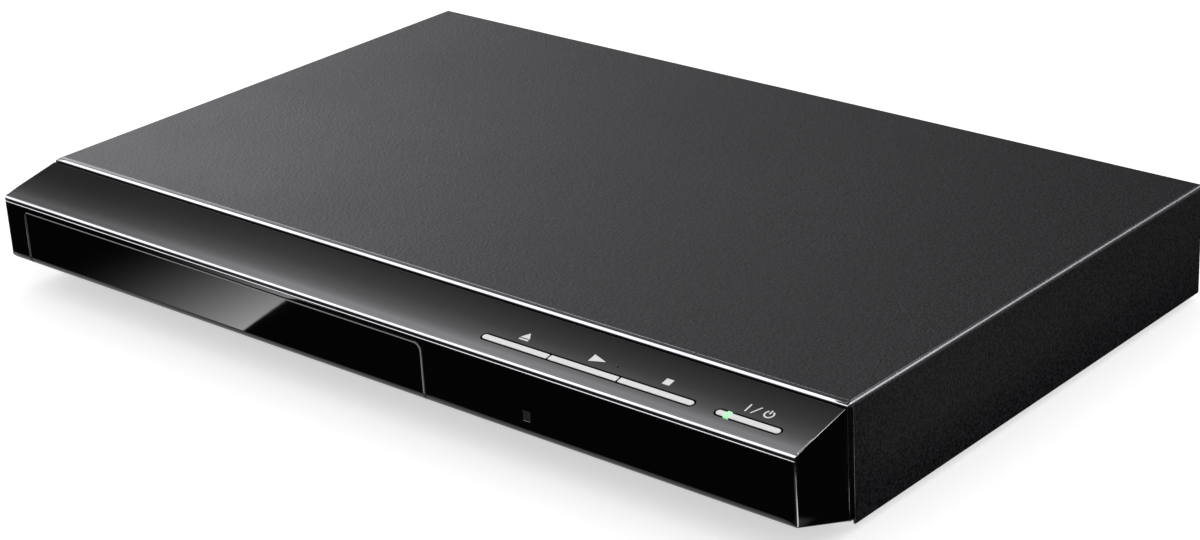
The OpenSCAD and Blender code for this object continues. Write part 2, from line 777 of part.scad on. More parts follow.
module loader_frame() {
    color([0.12, 0.12, 0.13])
        in_loader()
            difference() {
                union() {
                    for (side = [-1, 1]) {
                        // Side wall, raised over the slanted underside of the front moulding
                        along_x(side * (wall_in + 1) - 1, side * (wall_in + 1) + 1)
                            polygon([[loader_front, deck_z], [-77, deck_z], [-75, low_floor],
                                [loader_rear, low_floor], [loader_rear, 24], [loader_rear - 8, 27],
                                [loader_front, 27]]);
                        // Ledge under the tray's edge
                        box([side * (wall_in + ledge_in) / 2 - 3.76, loader_front, 18.6],
                            [side * (wall_in + ledge_in) / 2 + 3.76, loader_rear - 1, 20.2]);
                        // Side guides and the tabs over the tray's edge
                        for (y = [loader_front, -8, 46]) {
                            box([side * 67.2 - 2.8, y, 20], [side * 67.2 + 2.9, y + 10, 27.8]);
                            box([side * 66 - 4.5, y, 26.9], [side * 66 + 4.5, y + 10, 28.3]);
                        }
                        // Seats of the clamper bridge
                        box([side * 68.75 - 3.25, spindle_y - 14, 20],
                            [side * 68.75 + 3.25, spindle_y + 14, 27]);
                    }
                    // Lower floor strips
                    box([-70.5, -75, low_floor], [-49.5, loader_rear, low_floor + 1.6]);
                    box([52, -75, low_floor], [70.5, loader_rear, low_floor + 1.6]);
                    box([31, 58, low_floor], [60, loader_rear, low_floor + 1.6]);
                    box([-60, 60, low_floor], [60, loader_rear, low_floor + 1.6]);
                    box([-70.5, loader_rear - 1.6, low_floor], [70.5, loader_rear, 20]);
                    // Bosses of the traverse's pivots, with the webs behind them
                    for (b = boss_xs)
                        along_x(b[0], b[1])
                            polygon(concat(
                                [[pivot_y + 9, low_floor], [pivot_y + 9, low_floor + 3]],
                                [[pivot_y + 2.9, pivot_z]],
                                arc([pivot_y, pivot_z], 2.7, 20, 160, 8),
                                [[pivot_y - 2.9, pivot_z], [pivot_y - 3.5, low_floor]]));
                    box([-50, pivot_y - 3.5, low_floor], [boss_xs[0][1], pivot_y + 12, low_floor + 1.6]);
                    box([boss_xs[1][0], pivot_y - 3.5, low_floor], [53, pivot_y + 12, low_floor + 1.6]);
                    // Gear deck
                    box([-70.5, loader_front, deck_z], [70.5, -63.2, deck_z + deck_t]);
                    box([30.2, -72, deck_z], [70.5, -49.6, deck_z + deck_t]);
                    // Wall and lip that guide the cam slider
                    box([-62.5, -66, 3.6], [29.6, -63.2, deck_z + 0.1]);
                    box([-62.5, -66, 3.6], [29.6, -58.9, 4.5]);
                    box([-70.5, -60.25, 5.9], [-47, -58.9, 9]);
                    // Axles of the gears
                    post(drive_pos[0], drive_pos[1], axle_r, deck_z, 20.1);
                    post(drive_pos[0], drive_pos[1], 3, deck_z, wheel_z - 0.2);
                    post(pulley_pos[0], pulley_pos[1], axle_r, deck_z, 20.1);
                    post(pulley_pos[0], pulley_pos[1], 3, deck_z, wheel_z - 0.2);
                }
                // Path of the cam slider through the floor strip
                box([-60.5, -63.2, low_floor - 1], [-45, -60.25, low_floor + 3]);
                box([-60.5, -63.2, low_floor - 1], [-45, -57.5, low_floor - 0.1]);
                // Pass for the flat cable
                box([60, 38, low_floor + 1.6], [75, 58, 11]);
                // Lightening windows in the deck
                round_box([-60, -93, deck_z - 1], [-8, -71, deck_z + 3], 3);
                post(motor_pos[0], motor_pos[1], 3.1, deck_z - 1, deck_z + 3);
                // Bores for the traverse's pivots
                bar_x(pivot_y, pivot_z, axle_r + run_gap, -60, 60);
                for (p = loader_posts_local)
                    post(p[0], p[1], 1.7, low_floor - 3, low_floor + 3);
                // Screw holes of the clamper bridge
                for (x = [-68.5, 68.5])
                    post(x, spindle_y, 1.2, 22, 28);
            }
}

bridge_w = 28;

module clamper_bridge() {
    color([0.7, 0.71, 0.72])
        in_loader()
            difference() {
                union() {
                    along_y(spindle_y - bridge_w / 2, spindle_y + bridge_w / 2)
                        polygon([
                            [-72, 27], [-65.6, 27], [-61.2, bridge_z],
                            [61.2, bridge_z], [65.6, 27], [72, 27],
                            [72, 27 + sheet], [66, 27 + sheet], [61.6, bridge_z + sheet],
                            [-61.6, bridge_z + sheet], [-66, 27 + sheet], [-72, 27 + sheet]]);
                    // Turned-up edges
                    for (y = [spindle_y - bridge_w / 2, spindle_y + bridge_w / 2 - sheet])
                        box([-60, y, bridge_z], [60, y + sheet, bridge_z + 3]);
                }
                translate([0, spindle_y, bridge_z - 1]) cylinder(r = 9.3, h = 3);
                for (x = [-68.5, 68.5])
                    post(x, spindle_y, 1.7, 26, 29);
                // Lightening holes
                for (x = [-44, -26, 26, 44])
                    post(x, spindle_y, 5, bridge_z - 1, bridge_z + 2);
            }
}

puck_low = 27.45;
puck_neck = 28.7;
puck_play = 0.4;
puck_high = bridge_z + sheet + puck_play;

module clamper_puck() {
    color([0.85, 0.84, 0.8])
        translate([loader_x, spindle_y, 0])
            rotate_extrude()
                polygon([[8.4, puck_low], [13.2, puck_low], [14, puck_low + 0.8], [14, puck_neck],
                    [8.6, puck_neck], [8.6, puck_high], [7.6, puck_high], [7.6, 28.6], [1.2, 28.6],
                    [1.2, 28], [8.4, 28]]);
}

module clamper_plate() {
    color([0.75, 0.76, 0.77])
        translate([loader_x, spindle_y, 0])
            rotate_extrude()
                polygon([[0, puck_high], [11.2, puck_high], [12, puck_high + 0.6], [12, puck_high + 1.2],
                    [4, puck_high + 1.2], [3, puck_high + 1.8], [0, puck_high + 1.8]]);
}

module clamper_magnet() {
    color([0.35, 0.35, 0.36])
        translate([loader_x, spindle_y, 28.6])
            difference() {
                cylinder(r = 7.5, h = puck_high - 28.6);
                translate([0, 0, -1]) cylinder(r = 3, h = 5);
            }
}

motor_low = 4;

module loading_motor() {
    color([0.66, 0.67, 0.68])
        in_loader() {
            translate([motor_pos[0], motor_pos[1], 0]) {
                rotate_extrude()
                    polygon([[0, motor_low], [9, motor_low], [10, motor_low + 0.8], [10, deck_z - 0.02],
                        [2.9, deck_z - 0.02], [2.9, deck_z + deck_t - 0.2], [1, deck_z + deck_t - 0.2],
                        [1, 20], [0, 20]]);
            }
        }
}

// Pulley with a round-bottomed belt groove
module pulley(r, flange, z0, z1, bore) {
    mid = (z0 + z1) / 2;
    rotate_extrude()
        polygon([[bore, z0], [flange, z0], [flange, z0 + 0.5], [r, mid - 0.85], [r, mid + 0.85],
            [flange, z1 - 0.5], [flange, z1], [bore, z1]]);
}

module motor_pulley() {
    color([0.85, 0.82, 0.7])
        in_loader()
            translate([motor_pos[0], motor_pos[1], 0])
                pulley(motor_pulley_r, 4.2, pinion_z, pinion_z + pinion_h, 1 + run_gap);
}

module pulley_gear() {
    color([0.9, 0.89, 0.85])
        in_loader()
            translate([pulley_pos[0], pulley_pos[1], 0])
                difference() {
                    union() {
                        pulley(pulley_r, pulley_r + 1.3, pinion_z, pinion_z + pinion_h, 0);
                        translate([0, 0, wheel_z])
                            gear(small_teeth, pinion_z - wheel_z + e, train_angle + 180 + 180 / small_teeth);
                    }
                    translate([0, 0, wheel_z - 1]) cylinder(r = axle_r + run_gap, h = 10);
                    for (a = [0:60:300])
                        rotate([0, 0, a]) translate([5.4, 0, pinion_z - 1])
                            cylinder(r = 1.5, h = 6, $fn = 24);
                }
}

module drive_gear() {
    color([0.92, 0.91, 0.88])
        in_loader()
            translate([drive_pos[0], drive_pos[1], 0])
                difference() {
                    union() {
                        translate([0, 0, wheel_z]) gear(wheel_teeth, wheel_h, train_angle);
                        translate([0, 0, wheel_z]) cylinder(r = 4.5, h = pinion_z - wheel_z + e);
                        translate([0, 0, pinion_z]) gear(pinion_teeth, pinion_h - 0.1);
                    }
                    translate([0, 0, wheel_z - 1]) cylinder(r = axle_r + run_gap, h = 10);
                    // Lightening holes through the large wheel's rim
                    for (a = [0:60:300])
                        rotate([0, 0, a]) translate([10.9, 0, wheel_z - 1])
                            cylinder(r = 1.3, h = 4, $fn = 24);
                }
}

// Outline of a band round two discs of radii ra and rb at a and b
function band(a, b, ra, rb) =
    let (d = b - a, dir = atan2(d[1], d[0]), open = acos((ra - rb) / norm(d)))
    concat(arc(a, ra, dir + open, dir + 360 - open, 24), arc(b, rb, dir - open, dir + open, 16));

module drive_belt() {
    gap = 0.06;
    color([0.04, 0.04, 0.04])
        in_loader()
            translate([0, 0, belt_z - belt_r])
                linear_extrude(2 * belt_r)
                    difference() {
                        polygon(band(pulley_pos, motor_pos, pulley_r + gap + 1, motor_pulley_r + gap + 1));
                        polygon(band(pulley_pos, motor_pos, pulley_r + gap, motor_pulley_r + gap));
                    }
}

// Height of the traverse's front pins when they are down, and the slot that lifts them
cam_mid = (cam_y0 + cam_y1) / 2;
pin_rise = (pivot_y - cam_mid) * sin(tilt);
pin_down = pivot_z - pin_rise;

module cam_slot(x) {
    r = pin_r + 0.3;
    run = norm([cam_travel, pin_rise]);
    along_y(cam_y0 - 3, cam_y1 + 3)
        translate([x, pin_down])
            rotate(atan2(pin_rise, cam_travel)) {
                circle(r = r);
                translate([run, 0]) circle(r = r);
                translate([0, -r]) square([run, 2 * r]);
            }
}

module cam_slider() {
    color([0.88, 0.87, 0.84])
        in_loader()
            difference() {
                union() {
                    along_y(cam_y0, cam_y1)
                        polygon([[-40, 4.8], [28, 4.8], [28, 19.7], [12, 19.7], [2, 14], [-10, 14],
                            [-14, 19.7], [-26, 19.7], [-40, 11]]);
                    box([-40, cam_y0, 4.8], [28, cam_y1 + 1.2, 5.6 - e]);
                    box([14, cam_y0, 18.9], [28, cam_y1 + 1.2, 19.7]);
                }
                for (x = pin_xs)
                    cam_slot(x);
            }
}

// ---------- traverse ----------

plate_x0 = -42;
plate_x1 = 29;
plate_y1 = 56;
plate_z = pivot_z - plate_t / 2;
rod_z = plate_z - rod_r - 0.15;
screw_z = 16.4;
rod_y0 = -23;
rod_y1 = 46;
stepper_y0 = -44;
stepper_y1 = -29;
stepper_r = 3.6;
spindle_motor_r = 12;

module traverse_frame() {
    color([0.3, 0.31, 0.33])
        let_down()
            difference() {
                union() {
                    round_box([plate_x0, pin_y, plate_z], [plate_x1, plate_y1, plate_z + plate_t], 3);
                    // Pivots and the pins that ride in the cam slots
                    bar_x(pivot_y, pivot_z, axle_r, boss_xs[0][0] + 0.2, plate_x0 + 1);
                    bar_x(pivot_y, pivot_z, axle_r, plate_x1 - 1, boss_xs[1][1] - 0.2);
                    for (x = pin_xs)
                        bar_y(x, pivot_z, pin_r, cam_y0 - 0.2, pin_y + 1);
                    // Clips of the guide rods
                    for (x = rod_xs, y = [rod_y0 - 1.5, rod_y1 - 3.5])
                        box([x - 2.6, y, rod_z - 0.4], [x + 2.6, y + 5, plate_z + e]);
                    // Cradle of the sled motor and bearing of its screw
                    box([screw_x - 4.6, stepper_y1 + 0.4, plate_z - 1.6],
                        [screw_x + 4.6, stepper_y1 + 2.4, plate_z + e]);
                    box([screw_x - 3, 41, plate_z - 1.6], [screw_x + 3, 43.4, plate_z + plate_t]);
                    // Stiffening ribs
                    for (y = [-56, -47])
                        box([-22, y, plate_z - 1.2], [26, y + 1.2, plate_z + e]);
                    box([26.6, -54, plate_z - 1.6], [28, 44, plate_z + e]);
                }
                // Round opening of the spindle motor and window of the pickup
                translate([0, spindle_y, plate_z - 3]) cylinder(r = spindle_motor_r + 0.15, h = 8);
                round_box([-20.5, -16.6, plate_z - 1], [18.5, 42.5, plate_z + 4], 3);
                // Trough of the sled motor and its screw
                box([screw_x - 4, stepper_y0 - 0.4, plate_z - 3],
                    [screw_x + 4, stepper_y1 + 0.4, plate_z + 4]);
                box([screw_x - 2.2, stepper_y1 + 2.4, plate_z - 3], [screw_x + 2.2, 41, plate_z + 4]);
                bar_y(screw_x, screw_z, 1.15, stepper_y1 - 1, 45);
                // Bores of the rod clips
                for (x = rod_xs)
                    bar_y(x, rod_z, rod_r, rod_y0, rod_y1);
            }
}

module spindle_motor() {
    color([0.68, 0.69, 0.7])
        let_down()
            translate([0, spindle_y, 0])
                rotate_extrude()
                    polygon([[0, 14.4], [spindle_motor_r - 0.6, 14.4], [spindle_motor_r, 15],
                        [spindle_motor_r, 21.6], [spindle_motor_r - 0.8, 22.4],
                        [3, 22.4], [3, 22.7], [1, 22.7], [1, 26.2], [0, 26.2]]);
}

module turntable() {
    hub_r = 7.4;
    color([0.15, 0.15, 0.16])
        let_down()
            translate([0, spindle_y, 0])
                rotate_extrude()
                    polygon([[1 + run_gap, 22.9], [5, 22.9], [5.4, 24.1], [turntable_r - 0.5, 24.1],
                        [turntable_r, 24.6], [turntable_r, flange_top], [hub_r + 0.6, flange_top],
                        [hub_r + 0.6, flange_top - 0.3], [hub_r, flange_top - 0.3],
                        [hub_r, flange_top + 0.5], [hub_r - 1.5, flange_top + 1.4], [0, flange_top + 1.4],
                        [0, 26.4], [1 + run_gap, 26.4]]);
}

module guide_rods() {
    color([0.8, 0.81, 0.82])
        let_down()
            for (x = rod_xs)
                bar_y(x, rod_z, rod_r - 0.005, rod_y0 + 0.05, rod_y1 - 0.05);
}

module sled_motor() {
    color([0.7, 0.71, 0.72])
        let_down() {
            bar_y(screw_x, screw_z, stepper_r, stepper_y0, stepper_y1);
            box([screw_x - 2.5, stepper_y0 + 2, screw_z - stepper_r - 0.5],
                [screw_x + 2.5, stepper_y1 - 3, screw_z - stepper_r + 0.8]);
        }
}

screw_y0 = stepper_y1 + 0.5;

// Lead screw: a core with a run of ridges standing for its thread
module lead_screw() {
    color([0.75, 0.74, 0.7])
        let_down()
            translate([screw_x, screw_y0, screw_z])
                rotate([-90, 0, 0])
                    rotate_extrude($fn = 32)
                        polygon(concat([[0, 0], [1.1, 0], [1.1, 2.8]],
                            [for (i = [0:20], k = [0:3])
                                [[1.1, 1.7, 1.7, 1.1][k], 3 + i * screw_lead + [0, 0.5, 1.3, 1.8][k]]],
                            [[1.1, 71.8], [0, 71.8]]));
}

module pickup_body() {
    y0 = sled_y - 9.6;
    y1 = sled_y + 11;
    low = rod_z - 2.6;
    high = plate_z - 0.3;
    color([0.5, 0.51, 0.53])
        let_down()
            difference() {
                union() {
                    round_box([-27.5, y0, low], [25.5, y1, high], 2);
                    round_box([-15, y0, low], [15, y1, 18.6], 2);
                    // Follower that takes the lead screw
                    box([screw_x - 2, sled_y - 3, low], [-27, sled_y + 3, 14.2]);
                }
                // Bearing on the left rod, open fork on the right one
                bar_y(rod_xs[0], rod_z, rod_r + run_gap, y0 - 1, y1 + 1);
                bar_y(rod_xs[1], rod_z, rod_r + run_gap, y0 - 1, y1 + 1);
                box([rod_xs[1], y0 - 1, rod_z - rod_r - run_gap], [30, y1 + 1, rod_z + rod_r + run_gap]);
                // Well of the lens
                translate([0, sled_y, 16.6]) cylinder(r = 5.2, h = 4);
                box([-11, sled_y - 4.6, 17.4], [11, sled_y + 4.6, 20]);
            }
}

module objective_lens() {
    color([0.45, 0.55, 0.75])
        let_down()
            translate([0, sled_y, 0]) {
                box([-10, -3.9, 18], [10, 3.9, 19.2]);
                translate([0, 0, 17.6])
                    rotate_extrude()
                        polygon([[0, 0], [3, 0], [3, 2.4], [2.4, 2.6], [1.6, 2.9], [0, 3.1]]);
            }
}

// ---------- boards, sockets, supply ----------

board_top = board_z + board_t;
plug_h = 2.4;
plug_top = board_top + plug_h;

module board(x0, y0, x1, y1, holes) {
    difference() {
        box([x0, y0, board_z], [x1, y1, board_top]);
        for (p = holes)
            post(p[0], p[1], 1.6, board_z - 1, board_top + 1);
    }
}

module main_board() {
    color([0.1, 0.34, 0.2]) {
        board(board_x0, board_y0, board_x1, board_y1, main_posts);
        // Flat-cable connectors
        box([44, board_y0 + 1, board_top - e], [58, board_y0 + 5, board_top + plug_h]);
        box([30, 38, board_top - e], [34, 58, board_top + plug_h]);
    }
}

module main_chips() {
    color([0.07, 0.07, 0.08]) {
        round_box([84, 44, board_top], [108, 68, board_top + 1.5], 0.4);
        round_box([60, 46, board_top], [71, 64, board_top + 1.2], 0.3);
        for (y = [40, 52])
            round_box([118, y, board_top], [134, y + 7, board_top + 1.3], 0.3);
        for (x = [60, 66, 72])
            post(x, 74, 2.5, board_top, board_top + 5.5);
    }
}

module hdmi_socket() {
    color([0.75, 0.76, 0.77])
        difference() {
            box([hdmi_x - 7.5, rear_y - 12, hdmi_z - 2.7], [hdmi_x + 7.5, rear_y + 0.6, hdmi_z + 2.7]);
            along_y(rear_y - 9, rear_y + 2)
                polygon([[hdmi_x - 7, hdmi_z + 2.2], [hdmi_x + 7, hdmi_z + 2.2], [hdmi_x + 7, hdmi_z - 0.4],
                    [hdmi_x + 5.4, hdmi_z - 2.2], [hdmi_x - 5.4, hdmi_z - 2.2], [hdmi_x - 7, hdmi_z - 0.4]]);
        }
    color([0.05, 0.05, 0.05]) {
        box([hdmi_x - 5.5, rear_y - 9.1, hdmi_z - 0.1], [hdmi_x + 5.5, rear_y - 0.5, hdmi_z + 0.9]);
        box([hdmi_x - 6, rear_y - 12, board_top], [hdmi_x + 6, rear_y - 5.6, hdmi_z - 2.7 + e]);
    }
}

// Round sockets: a block on the board and a plated shell through the rear panel
module rca_sockets() {
    for (x = concat([coax_x], rca_xs))
        difference() {
            union() {
                color([0.1, 0.1, 0.1])
                    box([x - 5.5, rear_y - 12, board_top], [x + 5.5, rear_y - sheet - 0.05, rca_z + 5.5]);
                color([0.8, 0.78, 0.7])
                    bar_y(x, rca_z, 4.2, rear_y - 3, rear_y + socket_proud);
            }
            bar_y(x, rca_z, insert_r, rear_y - 5, rear_y + socket_proud + 1);
        }
}

// Coloured insulators inside the shells, bored for the plug's centre pin
module rca_inserts() {
    color([0.85, 0.15, 0.1])
        for (x = concat([coax_x], rca_xs))
            difference() {
                bar_y(x, rca_z, insert_r, rear_y - 5, rear_y + socket_proud - 0.5);
                bar_y(x, rca_z, 1.6, rear_y - 4.4, rear_y + socket_proud);
            }
}

module power_board() {
    color([0.45, 0.33, 0.16]) {
        board(power_x0, power_y0, power_x1, power_y1, power_posts);
        // Mains filter, fuse holder and plugs
        box([64, -64, board_top - e], [80, -50, board_top + 14]);
        box([86, -66, board_top - e], [108, -59, board_top + 7]);
        box([118, 6, board_top - e], [134, 12, board_top + 8]);
        box([118, -66, board_top - e], [140, -60, board_top + 9]);
    }
}

module power_transformer() {
    color([0.75, 0.62, 0.2]) {
        round_box([98, -46, board_top], [122, -24, board_top + 4], 1);
        round_box([98, -46, board_top + 14], [122, -24, board_top + 18], 1);
        round_box([101, -43, board_top + 4 - e], [119, -27, board_top + 14 + e], 4);
    }
    color([0.2, 0.2, 0.2])
        difference() {
            box([105, -49, board_top + 1], [115, -21, board_top + 17]);
            box([104, -46 - e, board_top], [116, -24 + e, board_top + 18]);
        }
}

module capacitors() {
    color([0.12, 0.13, 0.2]) {
        translate([72, -36, board_top])
            rotate_extrude()
                polygon([[0, 0], [7.6, 0], [7.6, 1.2], [8, 1.6], [8, 19], [7.2, 19.6], [0, 19.6]]);
        for (p = [[134, -14], [134, -2], [122, -8], [110, -6]])
            translate([p[0], p[1], board_top])
                rotate_extrude()
                    polygon([[0, 0], [4.2, 0], [4, 1.2], [4.2, 1.6], [4.2, 12], [3.6, 12.4], [0, 12.4]]);
    }
}

module heatsink() {
    color([0.72, 0.73, 0.74]) {
        box([64, -20, board_top], [92, -18, board_top + 18]);
        for (x = [64:4:88])
            box([x, -18 - e, board_top], [x + 1.2, -12, board_top + 18]);
    }
    color([0.06, 0.06, 0.06])
        box([73, -23.6, board_top + 4], [83, -20 - e, board_top + 18]);
}

// Bushing in the rear panel where a mains lead would enter
module mains_inlet() {
    color([0.05, 0.05, 0.05])
        translate([inlet_x, 0, 14])
            rotate([90, 0, 0])
                translate([0, 0, -rear_y])
                    rotate_extrude()
                        polygon([[1.8, -2.4], [4.6, -2.4], [5.8, -1.2], [5.8, -e], [4.5, -e], [4.5, sheet],
                            [5.6, sheet + 0.1], [5.2, 5], [1.8, 5]]);
}

module cover_screws() {
    color([0.12, 0.12, 0.12])
        for (x = tab_xs)
            translate([x, rear_y + sheet, tab_z + 3.6]) rotate([-90, 0, 0]) screw(2.4, 6, 5.5);
}

module base_screws() {
    color([0.7, 0.7, 0.71])
        for (x = bezel_screw_xs)
            translate([x, cover_y + 0.3 + sheet, bezel_screw_z]) rotate([-90, 0, 0]) screw(2.3, 4.4, 5);
}

module loader_screws() {
    color([0.7, 0.7, 0.71])
        in_loader() {
            for (p = loader_posts_local)
                translate([p[0], p[1], low_floor + 1.6]) screw(2.9, 4.6, 5.6);
            for (x = [-68.5, 68.5])
                translate([x, spindle_y, 27 + sheet]) screw(2.3, 5, 4.6);
        }
}

module board_screws() {
    color([0.7, 0.7, 0.71])
        for (p = concat(main_posts, power_posts))
            translate([p[0], p[1], board_top]) screw(2.9, 5, 5.6);
}

ribbon_t = 0.4;

// Flat cable from the loader's floor to the main board
module loader_ribbon() {
    low = low_floor + 1.6;
    color([0.85, 0.85, 0.82])
        along_y(40, 56)
            polygon([[-4, low], [14, low], [22, plug_top], [33, plug_top], [33, plug_top + ribbon_t],
                [21.8, plug_top + ribbon_t], [13.8, low + ribbon_t], [-4, low + ribbon_t]]);
}

// Flat cable from the front board to the main board
module front_ribbon() {
    start_z = 23.6;
    color([0.85, 0.85, 0.82])
        along_x(45, 56)
            polygon([[-85.9, start_z], [-79, start_z], [-62, plug_top], [26, plug_top],
                [26, plug_top + ribbon_t], [-61.8, plug_top + ribbon_t], [-78.8, start_z + ribbon_t],
                [-85.9, start_z + ribbon_t]]);
}

top_cover();
base_pan();
standoffs();
rear_panel();
feet();
front_bezel();
ir_window();
tray_front();
disc_tray();
eject_button();
play_button();
stop_button();
power_button();
led_light_pipe();
front_board();
tact_switches();
ir_receiver();
status_led();
loader_frame();
clamper_bridge();
clamper_puck();
clamper_plate();
clamper_magnet();
loading_motor();
motor_pulley();
drive_belt();
pulley_gear();
drive_gear();
cam_slider();
traverse_frame();
spindle_motor();
turntable();
guide_rods();
sled_motor();
lead_screw();
pickup_body();
objective_lens();
main_board();
main_chips();
hdmi_socket();
rca_sockets();
rca_inserts();
power_board();
power_transformer();
capacitors();
heatsink();
mains_inlet();
cover_screws();
base_screws();
loader_screws();
board_screws();
loader_ribbon();
front_ribbon();
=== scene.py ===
"""Looks of a slim disc player with a motor-driven tray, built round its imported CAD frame.

Everything is in metres in the frame's own axes: +X right seen from the front, +Y back, +Z up.
Every CAD node keeps its place and size. Merged copies with fine rounded edges stand for nearly all of
the nodes, and the printed marks and the raised dot are added on the front moulding's slope.
"""

from __future__ import annotations

import json
import logging
import math
from dataclasses import dataclass
from enum import Enum
from functools import reduce
from typing import Sequence

import bmesh
import bpy
from mathutils import Matrix, Vector

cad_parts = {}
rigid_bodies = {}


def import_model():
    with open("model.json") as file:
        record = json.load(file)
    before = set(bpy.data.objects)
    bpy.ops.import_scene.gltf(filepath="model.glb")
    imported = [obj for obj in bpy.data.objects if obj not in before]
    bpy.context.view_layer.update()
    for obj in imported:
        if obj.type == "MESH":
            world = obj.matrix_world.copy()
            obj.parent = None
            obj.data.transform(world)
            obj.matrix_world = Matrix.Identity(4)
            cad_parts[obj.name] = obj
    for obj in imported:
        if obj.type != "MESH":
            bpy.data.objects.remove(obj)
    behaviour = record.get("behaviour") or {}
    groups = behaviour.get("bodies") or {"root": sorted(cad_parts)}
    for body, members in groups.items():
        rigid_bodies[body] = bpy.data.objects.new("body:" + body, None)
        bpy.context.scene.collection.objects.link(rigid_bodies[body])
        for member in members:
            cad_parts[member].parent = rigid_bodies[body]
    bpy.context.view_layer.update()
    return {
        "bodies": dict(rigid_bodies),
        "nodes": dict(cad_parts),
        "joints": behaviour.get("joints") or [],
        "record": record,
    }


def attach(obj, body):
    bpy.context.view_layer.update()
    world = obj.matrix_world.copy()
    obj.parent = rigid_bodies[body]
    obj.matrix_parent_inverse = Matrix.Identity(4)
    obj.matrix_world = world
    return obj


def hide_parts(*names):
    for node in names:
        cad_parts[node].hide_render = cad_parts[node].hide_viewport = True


LOG = logging.getLogger("player")
MM = 0.001
NOISE_SPAN = (0.3, 0.7)  # the middle range that nearly all of a fractal noise lies in
WHOLE = (0.0, 1.0)
WAVE_PERIOD = math.pi / 10  # distance between the stripes of a wave texture whose scale is 1
Colour = tuple[float, float, float]
Span = tuple[float, float]
Point = tuple[float, float]
Socket = bpy.types.NodeSocket
Value = Socket | float | Sequence[float]
Work = bmesh.types.BMesh
Edge = bmesh.types.BMEdge


class Axis(Enum):
    """Direction that a grain, stripe or turned mark runs across."""

    X = 0
    Y = 1
    Z = 2


@dataclass(frozen=True)
class Slope:
    """Sloped top of the front moulding, from its front edge to its rim."""

    front: float = -104.5 * MM
    top: float = 33.0 * MM
    run: float = 22.1 * MM
    rise: float = 4.6 * MM

    def tilt(self) -> float:
        """Give the slope's angle in radians."""
        return math.atan2(self.rise, self.run)

    def square(self) -> Vector:
        """Give the direction straight off the slope."""
        return Vector((0, -math.sin(self.tilt()), math.cos(self.tilt())))


# ---- nodes


class Nodes:
    """A node tree, with short calls for the nodes that the finishes and the studio share."""

    def __init__(self, tree: bpy.types.NodeTree, coordinates: str) -> None:
        """Empty the tree and choose its coordinates.

        Args:
            tree: The tree.
            coordinates: The texture coordinates that its patterns read.
        """
        self.tree = tree
        tree.nodes.clear()
        self.coordinates = self.add("TexCoord").outputs[coordinates]

    def fill(self, node: bpy.types.Node, inputs: dict[int | str, Value]) -> None:
        """Set or link a node's inputs.

        Args:
            node: The node.
            inputs: Constants or sockets, by number or by name with underscores for spaces.
        """
        for key, value in inputs.items():
            socket = node.inputs[key if isinstance(key, int) else key.replace("_", " ")]
            if isinstance(value, Socket):
                self.tree.links.new(value, socket)
            elif socket.type == "RGBA":
                socket.default_value = (*value, 1.0)
            else:
                socket.default_value = value

    def add(self, kind: str, *values: Value, **named: Value) -> bpy.types.Node:
        """Add a node.

        Args:
            kind: The node's type, without the beginning that all of them share.
            values: What its first inputs get, in order.
            named: What other inputs get, by name.

        Returns:
            The node.
        """
        node = self.tree.nodes.new("ShaderNode" + kind)
        self.fill(node, {**dict(enumerate(values)), **named})
        return node

    def along(self, axis: Axis) -> Socket:
        """Give one of the coordinates."""
        return self.add("SeparateXYZ", self.coordinates).outputs[axis.value]

    def maths(self, operation: str, a: Value, b: Value) -> Socket:
        """Join two values.

        Args:
            operation: Name of the operation.
            a: First value or socket.
            b: Second value or socket.

        Returns:
            The result.
        """
        node = self.add("Math", a, b)
        node.operation = operation
        return node.outputs[0]

    def total(self, *values: Value) -> Socket:
        """Add values."""
        return reduce(lambda a, b: self.maths("ADD", a, b), values)

    def product(self, *values: Value) -> Socket:
        """Multiply values."""
        return reduce(lambda a, b: self.maths("MULTIPLY", a, b), values)

    def slanted(self, value: Socket, other: Socket, slope: float, start: float) -> Socket:
        """Measure a coordinate from a line that rises along the other one and is zero at its start."""
        return self.total(value, self.product(other, -slope), slope * start)

    def spread(self, value: Socket, span: Span, first: float, last: float) -> Socket:
        """Map a span of values onto the range from first to last, clamped."""
        return self.add("MapRange", value, *span, first, last).outputs["Result"]

    def rise(self, value: Socket, span: Span) -> Socket:
        """Rise from 0 to 1 over a span of values."""
        return self.spread(value, span, 0.0, 1.0)

    def fall(self, value: Socket, span: Span) -> Socket:
        """Fall from 1 to 0 over a span of values."""
        return self.spread(value, span, 1.0, 0.0)

    def ramp(self, value: Socket, *stops: tuple[float, Colour], hard: bool = False) -> Socket:
        """Turn a value into colours.

        Args:
            value: The input.
            stops: Places and their linear colours.
            hard: Whether the colours change in steps.

        Returns:
            The colour.
        """
        node = self.add("ValToRGB", value)
        node.color_ramp.interpolation = "CONSTANT" if hard else "LINEAR"
        elements = node.color_ramp.elements
        while len(elements) < len(stops):
            elements.new(0.5)
        for element, (place, colour) in zip(elements, stops):
            element.position = place
            element.color = (*colour, 1.0)
        return node.outputs["Color"]

    def graded(self, value: Socket, stops: Sequence[Point]) -> Socket:
        """Grade a value along stops, softly between them.

        Args:
            value: The input.
            stops: Inputs in rising order, and the levels there.

        Returns:
            The level.
        """
        low, high, top = stops[0][0], stops[-1][0], max(level for _, level in stops)
        greys = [((at - low) / (high - low), (level / top,) * 3) for at, level in stops]
        return self.product(self.ramp(self.rise(value, (low, high)), *greys), top)

    def mix(self, factor: Socket, a: Socket, b: Socket) -> Socket:
        """Mix two shaders by the share of the second."""
        return self.add("MixShader", factor, a, b).outputs[0]


